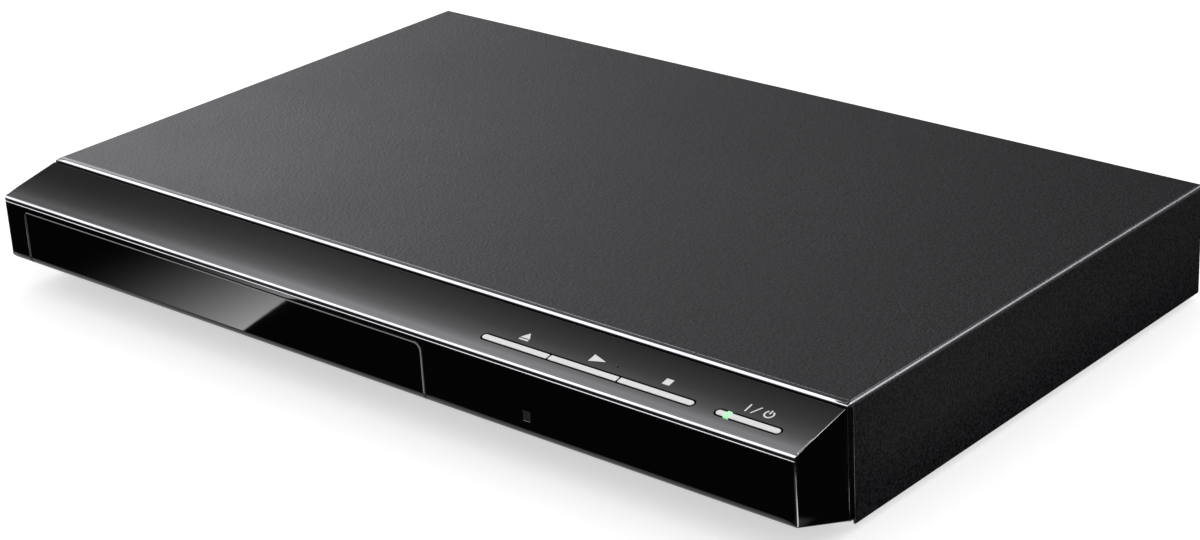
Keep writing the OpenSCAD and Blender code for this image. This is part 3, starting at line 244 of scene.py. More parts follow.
class Graph(Nodes):
    """A material's node tree, round one Principled shader."""

    def __init__(self, name: str) -> None:
        """Start a material.

        Args:
            name: Its name.
        """
        self.material = bpy.data.materials.new(name)
        self.material.use_nodes = True
        super().__init__(self.material.node_tree, "Object")
        self.shader = self.add("BsdfPrincipled")
        self.output = self.add("OutputMaterial", self.shader.outputs[0])

    def set(self, **inputs: Value) -> None:
        """Set or link the shader's inputs."""
        self.fill(self.shader, inputs)

    def raise_by(self, height: Socket, distance: float) -> None:
        """Feed a height, whose 1 stands for the distance, into the shader's normal."""
        self.set(Normal=self.add("Bump", Height=height, Distance=distance).outputs["Normal"])

    def stretched(self, scale: Sequence[float], turn: float = 0.0) -> Socket:
        """Scale the coordinates along each axis, and turn them about Z by degrees."""
        turned = (0.0, 0.0, math.radians(turn))
        return self.add("Mapping", self.coordinates, Rotation=turned, Scale=scale).outputs["Vector"]

    def noise(self, scale: float, detail: float, vector: Socket | None = None) -> Socket:
        """Add fractal noise by its features per metre, its octaves and any mapped coordinates."""
        at = vector or self.coordinates
        return self.add("TexNoise", at, Scale=scale, Detail=detail).outputs["Fac"]

    def cells(self, scale: float) -> Socket:
        """Give the distance from the middles of scattered cells, by their number per metre."""
        return self.add("TexVoronoi", self.coordinates, Scale=scale).outputs["Distance"]

    def flecks(self, scale: float) -> Socket:
        """Give each of many scattered cells its own grey, by their number per metre."""
        colours = self.add("TexVoronoi", self.coordinates, Scale=scale).outputs["Color"]
        return self.rise(colours, WHOLE)

    def stripes(self, axis: Axis, period: float, distortion: float = 0.0) -> Socket:
        """Add stripes.

        Args:
            axis: Axis that the stripes follow each other along.
            period: Distance from one stripe to the next.
            distortion: How much they waver.

        Returns:
            The stripes' profile from 0 to 1.
        """
        node = self.add("TexWave", self.coordinates, Scale=WAVE_PERIOD / period, Distortion=distortion)
        node.bands_direction = axis.name
        return node.outputs["Fac"]

    def blend(self, factor: Socket, a: Value, b: Value) -> Socket:
        """Mix two colours.

        Args:
            factor: Share of the second.
            a: First colour or socket.
            b: Second colour or socket.

        Returns:
            The mixed colour.
        """
        node = self.add("Mix")
        node.data_type = "RGBA"
        self.fill(node, {0: factor, 6: a, 7: b})
        return node.outputs[2]


# ---- finishes


@dataclass(frozen=True)
class Finish:
    """A surface finish. Each kind adds its own grain and wear to these values."""

    name: str
    colour: Colour
    roughness: float = 0.4
    metallic: float = 0.0
    specular: float = 0.5

    def material(self) -> bpy.types.Material:
        """Give the finish's material, made once.

        Returns:
            The material.
        """
        label = "look_" + self.name
        made = bpy.data.materials.get(label)
        if made:
            return made
        graph = Graph(label)
        graph.set(Base_Color=self.colour, Roughness=self.roughness, Metallic=self.metallic,
                  Specular_IOR_Level=self.specular)
        graph.material.diffuse_color = (*self.colour, 1.0)
        self.detail(graph)
        return graph.material

    def detail(self, graph: Graph) -> None:
        """Add the finish's grain.

        Args:
            graph: The material's nodes.
        """
        raise NotImplementedError

    def shade(self, share: float) -> Colour:
        """Give the base colour made darker or lighter."""
        return tuple(min(1.0, c * share) for c in self.colour)

    def shades(self, graph: Graph, source: Socket, span: Span, first: float, last: float) -> None:
        """Run the base colour from its first shade to its last over a span of a pattern."""
        stops = zip(span, (self.shade(first), self.shade(last)))
        graph.set(Base_Color=graph.ramp(source, *stops))

    def mottle(self, graph: Graph, scale: float, share: float) -> None:
        """Make the base colour a share darker and lighter, in patches of a number per metre."""
        self.shades(graph, graph.noise(scale, detail=4), NOISE_SPAN, 1 - share, 1 + share)

    def gloss(self, graph: Graph, source: Socket, *more: Socket, below: float = 0.05,
              above: float = 0.08) -> None:
        """Vary the roughness by so much below and above with a noise, and add finer changes."""
        varied = graph.spread(source, NOISE_SPAN, self.roughness - below, self.roughness + above)
        graph.set(Roughness=graph.total(varied, *more))


@dataclass(frozen=True)
class TexturedPaint(Finish):
    """Powder-coated sheet with a fine grain that sparkles slightly through painted glints on the grain's tops
    and painted shade in its hollows.
    """

    grain: float = 0.35 * MM
    depth: float = 0.02 * MM
    # share of the colour by which the grain's hollows are painted darker as shade, and its tops lighter as
    # glints
    grain_glint_and_shade: float = 0.22
    sparkle: float = 1.6  # how much further the painted glints on the grain's tops go than the painted shade in its hollows

    def detail(self, graph: Graph) -> None:
        """Add the grain, its painted glints and shade, and a rubbed variation of the gloss.

        Args:
            graph: The material's nodes.
        """
        fine = graph.noise(1 / self.grain, detail=2)
        pits = graph.product(graph.cells(0.8 / self.grain), 0.5)
        # the colour follows the relief's own noise: painted glints on the tops, painted shade in the hollows
        self.shades(graph, fine, (0.32, 0.68), 1 - self.grain_glint_and_shade, 1 + self.sparkle * self.grain_glint_and_shade)
        self.gloss(graph, graph.noise(14, detail=4), below=0.03, above=0.03)
        graph.raise_by(graph.total(fine, pits), self.depth)


@dataclass(frozen=True)
class GlossMoulding(Finish):
    """Polished moulding with faint orange peel, handling haze and a few hairlines."""

    haze: float = 0.03
    peel: float = 0.004 * MM
    hairline: float = 0.05

    def detail(self, graph: Graph) -> None:
        """Add haze to the gloss, hairline wear and orange peel.

        Args:
            graph: The material's nodes.
        """
        lines = graph.noise(60, 2, graph.stretched((1, 38, 38), turn=24))
        hair = graph.spread(lines, (0.68, 0.74), 0.0, self.hairline)
        haze = graph.noise(28, detail=5)
        hazed = graph.spread(haze, (0.35, 0.75), self.roughness, self.roughness + self.haze)
        graph.set(Roughness=graph.total(hair, hazed))
        self.mottle(graph, scale=40, share=0.12)
        graph.raise_by(graph.noise(260, detail=1), self.peel)


@dataclass(frozen=True)
class MattMoulding(Finish):
    """Spark-eroded moulding with a fine grain."""

    grain: float = 0.25 * MM
    depth: float = 0.012 * MM
    flow: float = 0.1

    def detail(self, graph: Graph) -> None:
        """Add the eroded grain and pale flow marks.

        Args:
            graph: The material's nodes.
        """
        self.mottle(graph, scale=55, share=self.flow)
        self.gloss(graph, graph.noise(90, detail=3), below=0.06, above=0.06)
        graph.raise_by(graph.noise(1 / self.grain, detail=3), self.depth)


@dataclass(frozen=True)
class SilverCap(Finish):
    """Metallic paint on the top of a cap, with fine flakes. Below the slope the cap's body is painted dark, as
    painted shade that makes the gaps round the cap read dark.
    """

    # painted shade for the cap's body below the slope, in the gaps round it
    body_shade: Colour = (0.012, 0.012, 0.012)
    flake: float = 0.0008 * MM
    edge: Span = (-0.12 * MM, -0.04 * MM)  # off the slope, where the painted shade on the body below gives way to the paint, and where the paint covers
    slope: Slope = Slope()

    def detail(self, graph: Graph) -> None:
        """Add flakes, a softly varied gloss and the painted shade on the body below the slope.

        Args:
            graph: The material's nodes.
        """
        flakes = graph.flecks(9000)
        y, z = graph.along(Axis.Y), graph.along(Axis.Z)
        level = graph.slanted(z, y, self.slope.rise / self.slope.run, self.slope.front)
        starts, covers = (self.slope.top + off / math.cos(self.slope.tilt()) for off in self.edge)
        # below the slope the body gets the painted shade, which makes the gaps round the cap read dark
        tone = graph.product(graph.rise(level, (starts, covers)), graph.spread(flakes, WHOLE, 0.5, 1.0))
        colours = graph.ramp(tone, (0.0, self.body_shade), (0.5, self.shade(0.96)), (1.0, self.colour))
        graph.set(Base_Color=colours)
        self.gloss(graph, graph.noise(200, detail=2), below=0.04, above=0.05)
        graph.raise_by(flakes, self.flake)


@dataclass(frozen=True)
class ZincSheet(Finish):
    """Zinc-plated sheet with a faint spangle and rolling lines."""

    rolled: Axis = Axis.Y
    relief: float = 0.004 * MM

    def detail(self, graph: Graph) -> None:
        """Add spangle, rolling lines and dull patches.

        Args:
            graph: The material's nodes.
        """
        self.shades(graph, graph.flecks(170), WHOLE, 0.86, 1.0)
        scale = [30.0 if axis is self.rolled else 2600.0 for axis in Axis]
        lines = graph.noise(1, 2, graph.stretched(scale))
        fine = graph.spread(lines, NOISE_SPAN, -0.05, 0.05)
        self.gloss(graph, graph.noise(24, detail=4), fine)
        graph.raise_by(lines, self.relief)


@dataclass(frozen=True)
class BrightMetal(Finish):
    """Drawn, turned or plated metal with fine marks across one axis."""

    across: Axis = Axis.Z
    mark: float = 0.12 * MM
    tarnish: float = 0.12
    relief: float = 0.004 * MM

    def detail(self, graph: Graph) -> None:
        """Add machining marks and a breath of tarnish.

        Args:
            graph: The material's nodes.
        """
        scale = [1 / self.mark if axis is self.across else 12.0 for axis in Axis]
        marks = graph.noise(1, 2, graph.stretched(scale))
        dull = graph.noise(120, detail=4)
        self.shades(graph, dull, (0.35, 0.75), 1.0, 1 - self.tarnish)
        self.gloss(graph, dull, graph.spread(marks, NOISE_SPAN, -0.05, 0.05), below=0.0, above=0.1)
        graph.raise_by(marks, self.relief)


@dataclass(frozen=True)
class Rubber(Finish):
    """Dusty rubber with a fine bloom."""

    dust: float = 0.03
    pores: float = 0.015 * MM

    def detail(self, graph: Graph) -> None:
        """Add bloom, dust and a pored surface.

        Args:
            graph: The material's nodes.
        """
        bloom = graph.noise(180, detail=5)
        dusty = tuple(c + self.dust for c in self.colour)
        graph.set(Base_Color=graph.ramp(bloom, (0.4, self.colour), (0.8, dusty)))
        self.gloss(graph, bloom, above=0.05)
        graph.raise_by(graph.noise(2600, detail=2), self.pores)


@dataclass(frozen=True)
class SolderMask(Finish):
    """Circuit board with traces under its mask, plated pads and paler copper-free lanes."""

    lane: float = 1.9 * MM
    wider: float = 1.15
    copper: Colour = (0.55, 0.33, 0.12)
    plated: float = 0.25
    relief: float = 0.03 * MM

    def detail(self, graph: Graph) -> None:
        """Add traces, ground areas and pads.

        Args:
            graph: The material's nodes.
        """
        lengthways = graph.maths("GREATER_THAN", graph.flecks(90), 0.5)
        rows = graph.total(
            graph.product(graph.stripes(Axis.X, self.lane), lengthways),
            graph.product(graph.stripes(Axis.Y, self.lane * self.wider), graph.fall(lengthways, WHOLE)))
        trace = graph.rise(rows, (0.55, 0.62))
        covered = tuple(c * 1.7 + 0.01 for c in self.colour)
        pads = graph.fall(graph.cells(330), (0.10, 0.13))
        graph.set(Base_Color=graph.blend(pads, graph.blend(trace, self.colour, covered), self.copper),
                  Roughness=graph.spread(pads, WHOLE, self.roughness, self.plated), Metallic=pads)
        graph.raise_by(graph.total(trace, pads), self.relief)


@dataclass(frozen=True)
class PaperBoard(Finish):
    """Phenolic paper board, mottled, with paler fibres."""

    print_pitch: float = 5.5 * MM
    print_colour: Colour = (0.62, 0.58, 0.5)
    relief: float = 0.01 * MM

    def detail(self, graph: Graph) -> None:
        """Add fibres, burnt patches and printed lanes.

        Args:
            graph: The material's nodes.
        """
        fibres = graph.noise(1, 3, graph.stretched((160, 1500, 1500), turn=12))
        patches = graph.noise(36, detail=4)
        both = graph.product(graph.total(fibres, patches), 0.5)
        tone = graph.ramp(both, (0.35, self.shade(0.72)), (0.65, self.shade(1.18)))
        stripes = graph.stripes(Axis.Y, self.print_pitch, distortion=3.0)
        rows = graph.spread(stripes, (0.9, 0.94), 0.0, 0.55)
        graph.set(Base_Color=graph.blend(rows, tone, self.print_colour))
        self.gloss(graph, patches)
        graph.raise_by(fibres, self.relief)


@dataclass(frozen=True)
class Ribbed(Finish):
    """A surface of fine parallel lines, such as a flat cable's leads or a coil's turns."""

    across: Axis = Axis.X
    pitch: float = 1.0 * MM
    line: Colour = (0.6, 0.6, 0.6)
    relief: float = 0.06 * MM

    def detail(self, graph: Graph) -> None:
        """Add the lines and their relief.

        Args:
            graph: The material's nodes.
        """
        profile = graph.stripes(self.across, self.pitch)
        tone = graph.blend(graph.rise(profile, (0.35, 0.65)), self.line, self.colour)
        aged = graph.noise(70, detail=3)
        share = graph.spread(aged, (0.45, 0.85), 0.0, 0.35)
        graph.set(Base_Color=graph.blend(share, tone, self.shade(0.85)))
        self.gloss(graph, aged)
        graph.raise_by(profile, self.relief)


@dataclass(frozen=True)
class Translucent(Finish):
    """Clear or tinted moulding that light passes into."""

    passes: float = 0.6
    glow: float = 0.0
    index: float = 1.49
    swirl: float = 0.005 * MM

    def detail(self, graph: Graph) -> None:
        """Add depth, swirl and any light from the lamp behind.

        Args:
            graph: The material's nodes.
        """
        swirl = graph.noise(500, detail=3)
        graph.set(Transmission_Weight=self.passes, IOR=self.index)
        self.gloss(graph, swirl, below=0.0, above=0.08)
        self.shades(graph, swirl, NOISE_SPAN, 0.75, 1.0)
        if self.glow:
            graph.set(Emission_Color=self.colour, Emission_Strength=self.glow)
        graph.raise_by(swirl, self.swirl)


@dataclass(frozen=True)
class PrintedInk(Finish):
    """Screen-printed ink, slightly uneven at its surface."""

    weave: float = 0.002 * MM

    def detail(self, graph: Graph) -> None:
        """Add the screen's weave and thin places.

        Args:
            graph: The material's nodes.
        """
        weave = graph.noise(6000, detail=2)
        self.shades(graph, weave, (0.3, 0.6), 0.94, 1.0)
        self.gloss(graph, weave, below=0.0, above=0.15)
        graph.raise_by(weave, self.weave)


@dataclass(frozen=True)
class SocketInsert(Finish):
    """Moulded socket insulators, each place along the rear in its own usual colour."""

    places: tuple[tuple[float, Colour], ...] = ()
    reach: float = 160 * MM
    grain: float = 0.01 * MM

    def detail(self, graph: Graph) -> None:
        """Colour the insulators by where they stand, with a fine moulded grain.

        Args:
            graph: The material's nodes.
        """
        share = graph.rise(graph.along(Axis.X), (0.0, self.reach))
        stops = [(place / self.reach, colour) for place, colour in self.places]
        graph.set(Base_Color=graph.ramp(share, *stops, hard=True))
        self.gloss(graph, graph.noise(900, detail=3), above=0.1)
        graph.raise_by(graph.noise(2500, detail=2), self.grain)


BLACK_PAINT = TexturedPaint("textured_paint", (0.0066, 0.0061, 0.0075), 0.33, grain=0.85 * MM,
                            depth=0.075 * MM, grain_glint_and_shade=0.95)
REAR_PAINT = TexturedPaint("rear_paint", (0.018, 0.018, 0.019), 0.5, grain=0.3 * MM, depth=0.012 * MM)
GLOSS_BLACK = GlossMoulding("gloss_black", (0.0012, 0.0012, 0.0012), 0.06)
DOOR_BLACK = GlossMoulding("door_black", (0.0012, 0.0012, 0.0012), 0.045)
# Painted highlights: lighter strips on the rounded outer edges of the cover, the front moulding and the tray's
# front, standing in for the light those edges catch.
GLOSS_EDGE_HIGHLIGHT = GlossMoulding("gloss_edge", (0.4, 0.4, 0.41), 0.1, metallic=1.0)
PAINT_EDGE_HIGHLIGHT = GlossMoulding("paint_edge", (0.4, 0.4, 0.41), 0.3, metallic=1.0)
DOOR_EDGE_HIGHLIGHT = GlossMoulding("door_edge", (0.26, 0.26, 0.27), 0.5)
TRAY_MATT = MattMoulding("tray_matt", (0.022, 0.022, 0.024), 0.5)
LOADER_MATT = MattMoulding("loader_matt", (0.03, 0.03, 0.032), 0.55)
TRAVERSE_GREY = MattMoulding("traverse_grey", (0.075, 0.08, 0.088), 0.6, grain=0.18 * MM, depth=0.02 * MM)
COMPONENT = MattMoulding("component_black", (0.018, 0.018, 0.02), 0.45, grain=0.12 * MM)
ACETAL = MattMoulding("acetal", (0.78, 0.76, 0.71), 0.38, grain=0.3 * MM, depth=0.006 * MM, flow=0.05)
CAP_SILVER = SilverCap("silver_cap", (0.97, 0.97, 0.965), 0.32)
ZINC = ZincSheet("zinc_sheet", (0.56, 0.58, 0.6), 0.34, metallic=1.0)
STEEL = BrightMetal("bright_steel", (0.58, 0.58, 0.59), 0.26, metallic=1.0)
TURNED = BrightMetal("turned_steel", (0.6, 0.6, 0.61), 0.2, metallic=1.0, across=Axis.Y)
PLATED = BrightMetal("plated_shell", (0.66, 0.6, 0.45), 0.22, metallic=1.0, across=Axis.Y, mark=0.2 * MM)
EXTRUDED = BrightMetal("extruded_alloy", (0.62, 0.63, 0.64), 0.36, metallic=1.0, across=Axis.X, mark=0.3 * MM)
MAGNET = BrightMetal("sintered_magnet", (0.2, 0.2, 0.21), 0.45, metallic=0.8, mark=0.5 * MM, tarnish=0.3)
RUBBER = Rubber("rubber", (0.012, 0.012, 0.012), 0.75)
BELT = Rubber("belt_rubber", (0.016, 0.016, 0.016), 0.6)
GREEN_BOARD = SolderMask("green_board", (0.012, 0.085, 0.035), 0.32)
BROWN_BOARD = PaperBoard("brown_board", (0.2, 0.105, 0.038), 0.55)
RIBBON = Ribbed("ribbon_cable", (0.74, 0.74, 0.7), 0.35, line=(0.42, 0.43, 0.46))
WINDING = Ribbed("winding_tape", (0.72, 0.5, 0.08), 0.4, across=Axis.Z, pitch=0.9 * MM, line=(0.5, 0.2, 0.05))
CAN_SLEEVE = Ribbed("can_sleeve", (0.012, 0.014, 0.04), 0.3, across=Axis.Z, pitch=6.3 * MM,
                    line=(0.02, 0.022, 0.05), relief=0.01 * MM)
WINDOW = Translucent("infrared_window", (0.035, 0.026, 0.03), 0.12, passes=0.2)
LIGHT_PIPE = Translucent("light_pipe", (0.35, 0.85, 0.42), 0.15, passes=0.35, glow=0.75)
LAMP = Translucent("status_lamp", (0.3, 0.85, 0.35), 0.15, passes=0.5)
LENS = Translucent("coated_lens", (0.5, 0.6, 0.85), 0.05, passes=0.7)
INK = PrintedInk("white_ink", (0.98, 0.98, 0.97), 0.45)
INSERTS = SocketInsert("socket_inserts", (0.5, 0.03, 0.02), 0.4, places=(
    (0.0, (0.62, 0.2, 0.02)), (43 * MM, (0.01, 0.22, 0.07)), (57 * MM, (0.02, 0.06, 0.4)),
    (71 * MM, (0.5, 0.02, 0.015)), (85 * MM, (0.7, 0.68, 0.62)), (99 * MM, (0.5, 0.02, 0.015)),
    (113 * MM, (0.75, 0.5, 0.02))))


# ---- mesh helpers


def finished_mesh(name: str, work: Work) -> bpy.types.Mesh:
    """Turn mesh work into a mesh.

    Args:
        name: Name of the mesh.
        work: The mesh work, freed here.

    Returns:
        The mesh.
    """
    mesh = bpy.data.meshes.new(name)
    work.to_mesh(mesh)
    work.free()
    return mesh


def new_object(name: str, mesh: bpy.types.Mesh, *finishes: Finish) -> bpy.types.Object:
    """Put a mesh into the scene, unturned and at the origin.

    Args:
        name: Name of the object.
        mesh: Its mesh, placed by its own vertices.
        finishes: Its finishes, in the order of its faces' material numbers.

    Returns:
        The object.
    """
    made = bpy.data.objects.new(name, mesh)
    bpy.context.scene.collection.objects.link(made)
    for finish in finishes:
        mesh.materials.append(finish.material())
    return made


def smooth(mesh: bpy.types.Mesh, sharp: float = 50.0, near: float = 12.0, share: float = 0.3) -> None:
    """Shade a mesh smooth, weighted by area, so that a flat face stays flat beside its rounded edge.

    Args:
        mesh: The mesh.
        sharp: Neighbours that turn by more than this many degrees are left out.
        near: Neighbours that turn by less than this many degrees always count.
        share: Least area of the other neighbours, as a share of the face's own.
    """
    mesh.shade_smooth()
    faces = [(face.normal.copy(), face.area) for face in mesh.polygons]
    around: list[list[int]] = [[] for _ in mesh.vertices]
    for face in mesh.polygons:
        for vertex in face.vertices:
            around[vertex].append(face.index)
    far, close = math.cos(math.radians(sharp)), math.cos(math.radians(near))
    normals = []
    for face in mesh.polygons:
        own, area = faces[face.index]
        for vertex in face.vertices:
            total = Vector()
            for other in around[vertex]:
                normal, size = faces[other]
                turn = own.dot(normal)
                if turn > close or (turn > far and size > share * area):
                    total += normal * size
            normals.append(total.normalized() if total.length > 0 else own)
    mesh.normals_split_custom_set(normals)


@dataclass(frozen=True)
class RoundedEdge:
    """Which edges a real moulding or sheet would have rounded: outward, sharp and long ones."""

    least_turn: float = 40.0
    least_length: float = 0.6 * MM

    def holds(self, edge: Edge) -> bool:
        """Tell whether an edge is one of them."""
        return (len(edge.link_faces) == 2 and edge.is_convex and edge.calc_length() > self.least_length
                and edge.calc_face_angle(0) > math.radians(self.least_turn))


@dataclass(frozen=True)
class EndFold(RoundedEdge):
    """Which edges lie between a far end of a wide moulding and its sloped top."""

    least_turn: float = 60.0
    least_length: float = 0.8 * MM
    aside: float = 0.9
    upwards: float = 0.85
    beyond: float = 155 * MM

    def holds(self, edge: Edge) -> bool:
        """Tell whether an edge is one of them.

        Args:
            edge: The edge.

        Returns:
            True for such an edge.
        """
        if not super().holds(edge):
            return False
        side, top = sorted(edge.link_faces, key=lambda face: face.normal.z)
        return (abs(side.normal.x) > self.aside and top.normal.z > self.upwards
                and abs(edge.verts[0].co.x) > self.beyond)


@dataclass(frozen=True)
class OuterEdge:
    """Which faces are a piece's outer edges, which get a painted highlight: near its outside, and between the
    case's main directions.
    """

    within: float = 0.9 * MM
    least_up: float = -0.05
    off_main: float = math.radians(8)

    def mark(self, work: Work) -> None:
        """Give such faces the second material, the painted edge highlight.

        Args:
            work: The mesh work.
        """
        work.normal_update()
        mains = (Vector((1, 0, 0)), Vector((0, 1, 0)), Vector((0, 0, 1)), Slope().square())
        low, high = ([limit(v.co[i] for v in work.verts) for i in range(3)] for limit in (min, max))
        for face in work.faces:
            x, y, z = face.calc_center_median()
            inset = min(x - low[0], high[0] - x, y - low[1], high[2] - z)
            between = all(abs(face.normal.dot(main)) < math.cos(self.off_main) for main in mains)
            face.material_index = int(inset < self.within and face.normal.z > self.least_up and between)


@dataclass(frozen=True)
class Dressing:
    """How a CAD node's copy gets its fine edges."""

    round_by: float = 0.0
    steps: int = 2
    edges: RoundedEdge = RoundedEdge()
    cut_every: float = 0.0
    end_round: float = 0.0
    end_steps: int = 4
    # painted highlight on the outer edges, given to them as a second material
    edge_highlight: Finish | None = None
    merge: float = 0.002 * MM
    speck: float = 0.001 * MM
    flat: float = 0.5

    def soften(self, work: Work, which: RoundedEdge, by: float, steps: int) -> None:
        """Round some of the edges by a distance, in steps."""
        bmesh.ops.bevel(work, geom=[e for e in work.edges if which.holds(e)], offset=by, offset_type="OFFSET",
                        segments=steps, profile=0.5, affect="EDGES", clamp_overlap=False, material=-1)

    def cut(self, work: Work) -> None:
        """Cut the work across its width at even distances, so that its shading can bend.

        Args:
            work: The mesh work.
        """
        reach = max(abs(v.co.x) for v in work.verts)
        for i in range(1, int(2 * reach / self.cut_every)):
            everything = work.verts[:] + work.edges[:] + work.faces[:]
            bmesh.ops.bisect_plane(work, geom=everything, dist=self.speck / 10,
                                   plane_co=(i * self.cut_every - reach, 0, 0), plane_no=(1, 0, 0))

    def apply(self, node: str, finish: Finish, body: str, slot: str) -> None:
        """Copy a CAD node, merge it, round its long edges, and let the copy stand for it.

        Args:
            node: The CAD node.
            finish: The copy's finish.
            body: The body it rides on.
            slot: The record's material slot; not used.
        """
        work = bmesh.new()
        work.from_mesh(bpy.data.objects[node].data)
        bmesh.ops.remove_doubles(work, verts=work.verts, dist=self.merge)
        bmesh.ops.dissolve_degenerate(work, edges=work.edges, dist=self.speck)
        bmesh.ops.recalc_face_normals(work, faces=work.faces)
        bmesh.ops.dissolve_limit(work, angle_limit=math.radians(self.flat), verts=work.verts, edges=work.edges)
        if self.end_round:
            self.soften(work, EndFold(), self.end_round, self.end_steps)
        if self.round_by:
            self.soften(work, self.edges, self.round_by, self.steps)
        # the outer edges get the painted highlight
        if self.edge_highlight:
            OuterEdge().mark(work)
        if self.cut_every:
            self.cut(work)
        mesh = finished_mesh(node + "_dressed", work)
        smooth(mesh)
        made = new_object(mesh.name, mesh, *[f for f in (finish, self.edge_highlight) if f])
        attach(made, body)
        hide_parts(node)


class SubAssembly:
    """A group of the player's pieces that belong together."""

    def __init__(self, frame: dict) -> None:
        """Keep the frame and find which body and slot each node has.
        """
        self.nodes = frame["nodes"]
        groups = frame["record"]["behaviour"]["bodies"]
        self.body = {node: body for body, members in groups.items() for node in members}
        self.slot = {part["node"]: part["material_slot"] for part in frame["record"]["subparts"]}
        self.made: list[str] = []

    def paint(self, finish: Finish, *nodes: str) -> None:
        """Give CAD nodes a finish through their own material slots.

        Args:
            finish: The finish.
            nodes: The CAD nodes.
        """
        for node in nodes:
            mesh = self.nodes[node]
            if not mesh.material_slots:
                mesh.data.materials.append(finish.material())
            for slot in mesh.material_slots:
                slot.material = finish.material()
            self.made.append(node)

    def dress(self, finish: Finish, *nodes: str, how: Dressing = Dressing()) -> None:
        """Let merged copies with fine edges stand for CAD nodes.

        Args:
            finish: The finish.
            nodes: The CAD nodes.
            how: The edges to round.
        """
        for node in nodes:
            how.apply(node, finish, self.body[node], self.slot[node])
            self.made.append(node)

    def build(self) -> None:
        """Make the group's pieces."""
        raise NotImplementedError

    def report(self) -> None:
        """Log what was made."""
        LOG.info("%s: %s", type(self).__name__, ", ".join(self.made))


# ---- the case and its front


@dataclass(frozen=True)
class FrontShape(Slope):
    """The slope with the faint bow of its moulded skin."""

    bow_from: float = 8.0 * MM
    bow_to: float = 22.0 * MM
    bow_turn: float = math.radians(-6.0)
    flat: float = math.radians(0.4)

    def bow(self, mesh: bpy.types.Mesh) -> None:
        """Bow the shading of the slope's flat part a little, as a moulded skin does.

        Args:
            mesh: The moulding's mesh.
        """
        square = self.square()
        normals = [corner.vector.copy() for corner in mesh.corner_normals]
        for face in mesh.polygons:
            if face.normal.dot(square) < math.cos(self.flat):
                continue
            for corner in face.loop_indices:
                place = mesh.vertices[mesh.loops[corner].vertex_index].co
                up = (place.y - self.front) / math.cos(self.tilt())
                part = min(1.0, max(0.0, (up - self.bow_from) / (self.bow_to - self.bow_from)))
                normals[corner] = Matrix.Rotation(self.bow_turn * part, 3, "X") @ square
        mesh.normals_split_custom_set(normals)

    def upright(self, off: float) -> Matrix:
        """Give the move that lays flat work on the slope, Y up it, at a distance off it."""
        turn = Matrix.Rotation(self.tilt(), 4, "X")
        return Matrix.Translation((0, self.front, self.top)) @ turn @ Matrix.Translation((0, 0, off))


class Case(SubAssembly):
    """Folded cover, base, rear panel, feet and the screws that hold them."""

    def build(self) -> None:
        """Finish the sheet metal, the feet and the screws."""
        # the cover's outer edges get a painted highlight
        self.dress(BLACK_PAINT, "top_cover", how=Dressing(round_by=0.22 * MM, edge_highlight=PAINT_EDGE_HIGHLIGHT))
        self.dress(REAR_PAINT, "rear_panel", how=Dressing(round_by=0.12 * MM))
        self.dress(ZINC, "base_pan", how=Dressing(round_by=0.12 * MM))
        self.dress(RUBBER, "feet", "mains_inlet", how=Dressing(round_by=0.35 * MM, steps=3))
        self.dress(STEEL, "cover_screws", "base_screws", "standoffs", how=Dressing(round_by=0.08 * MM))


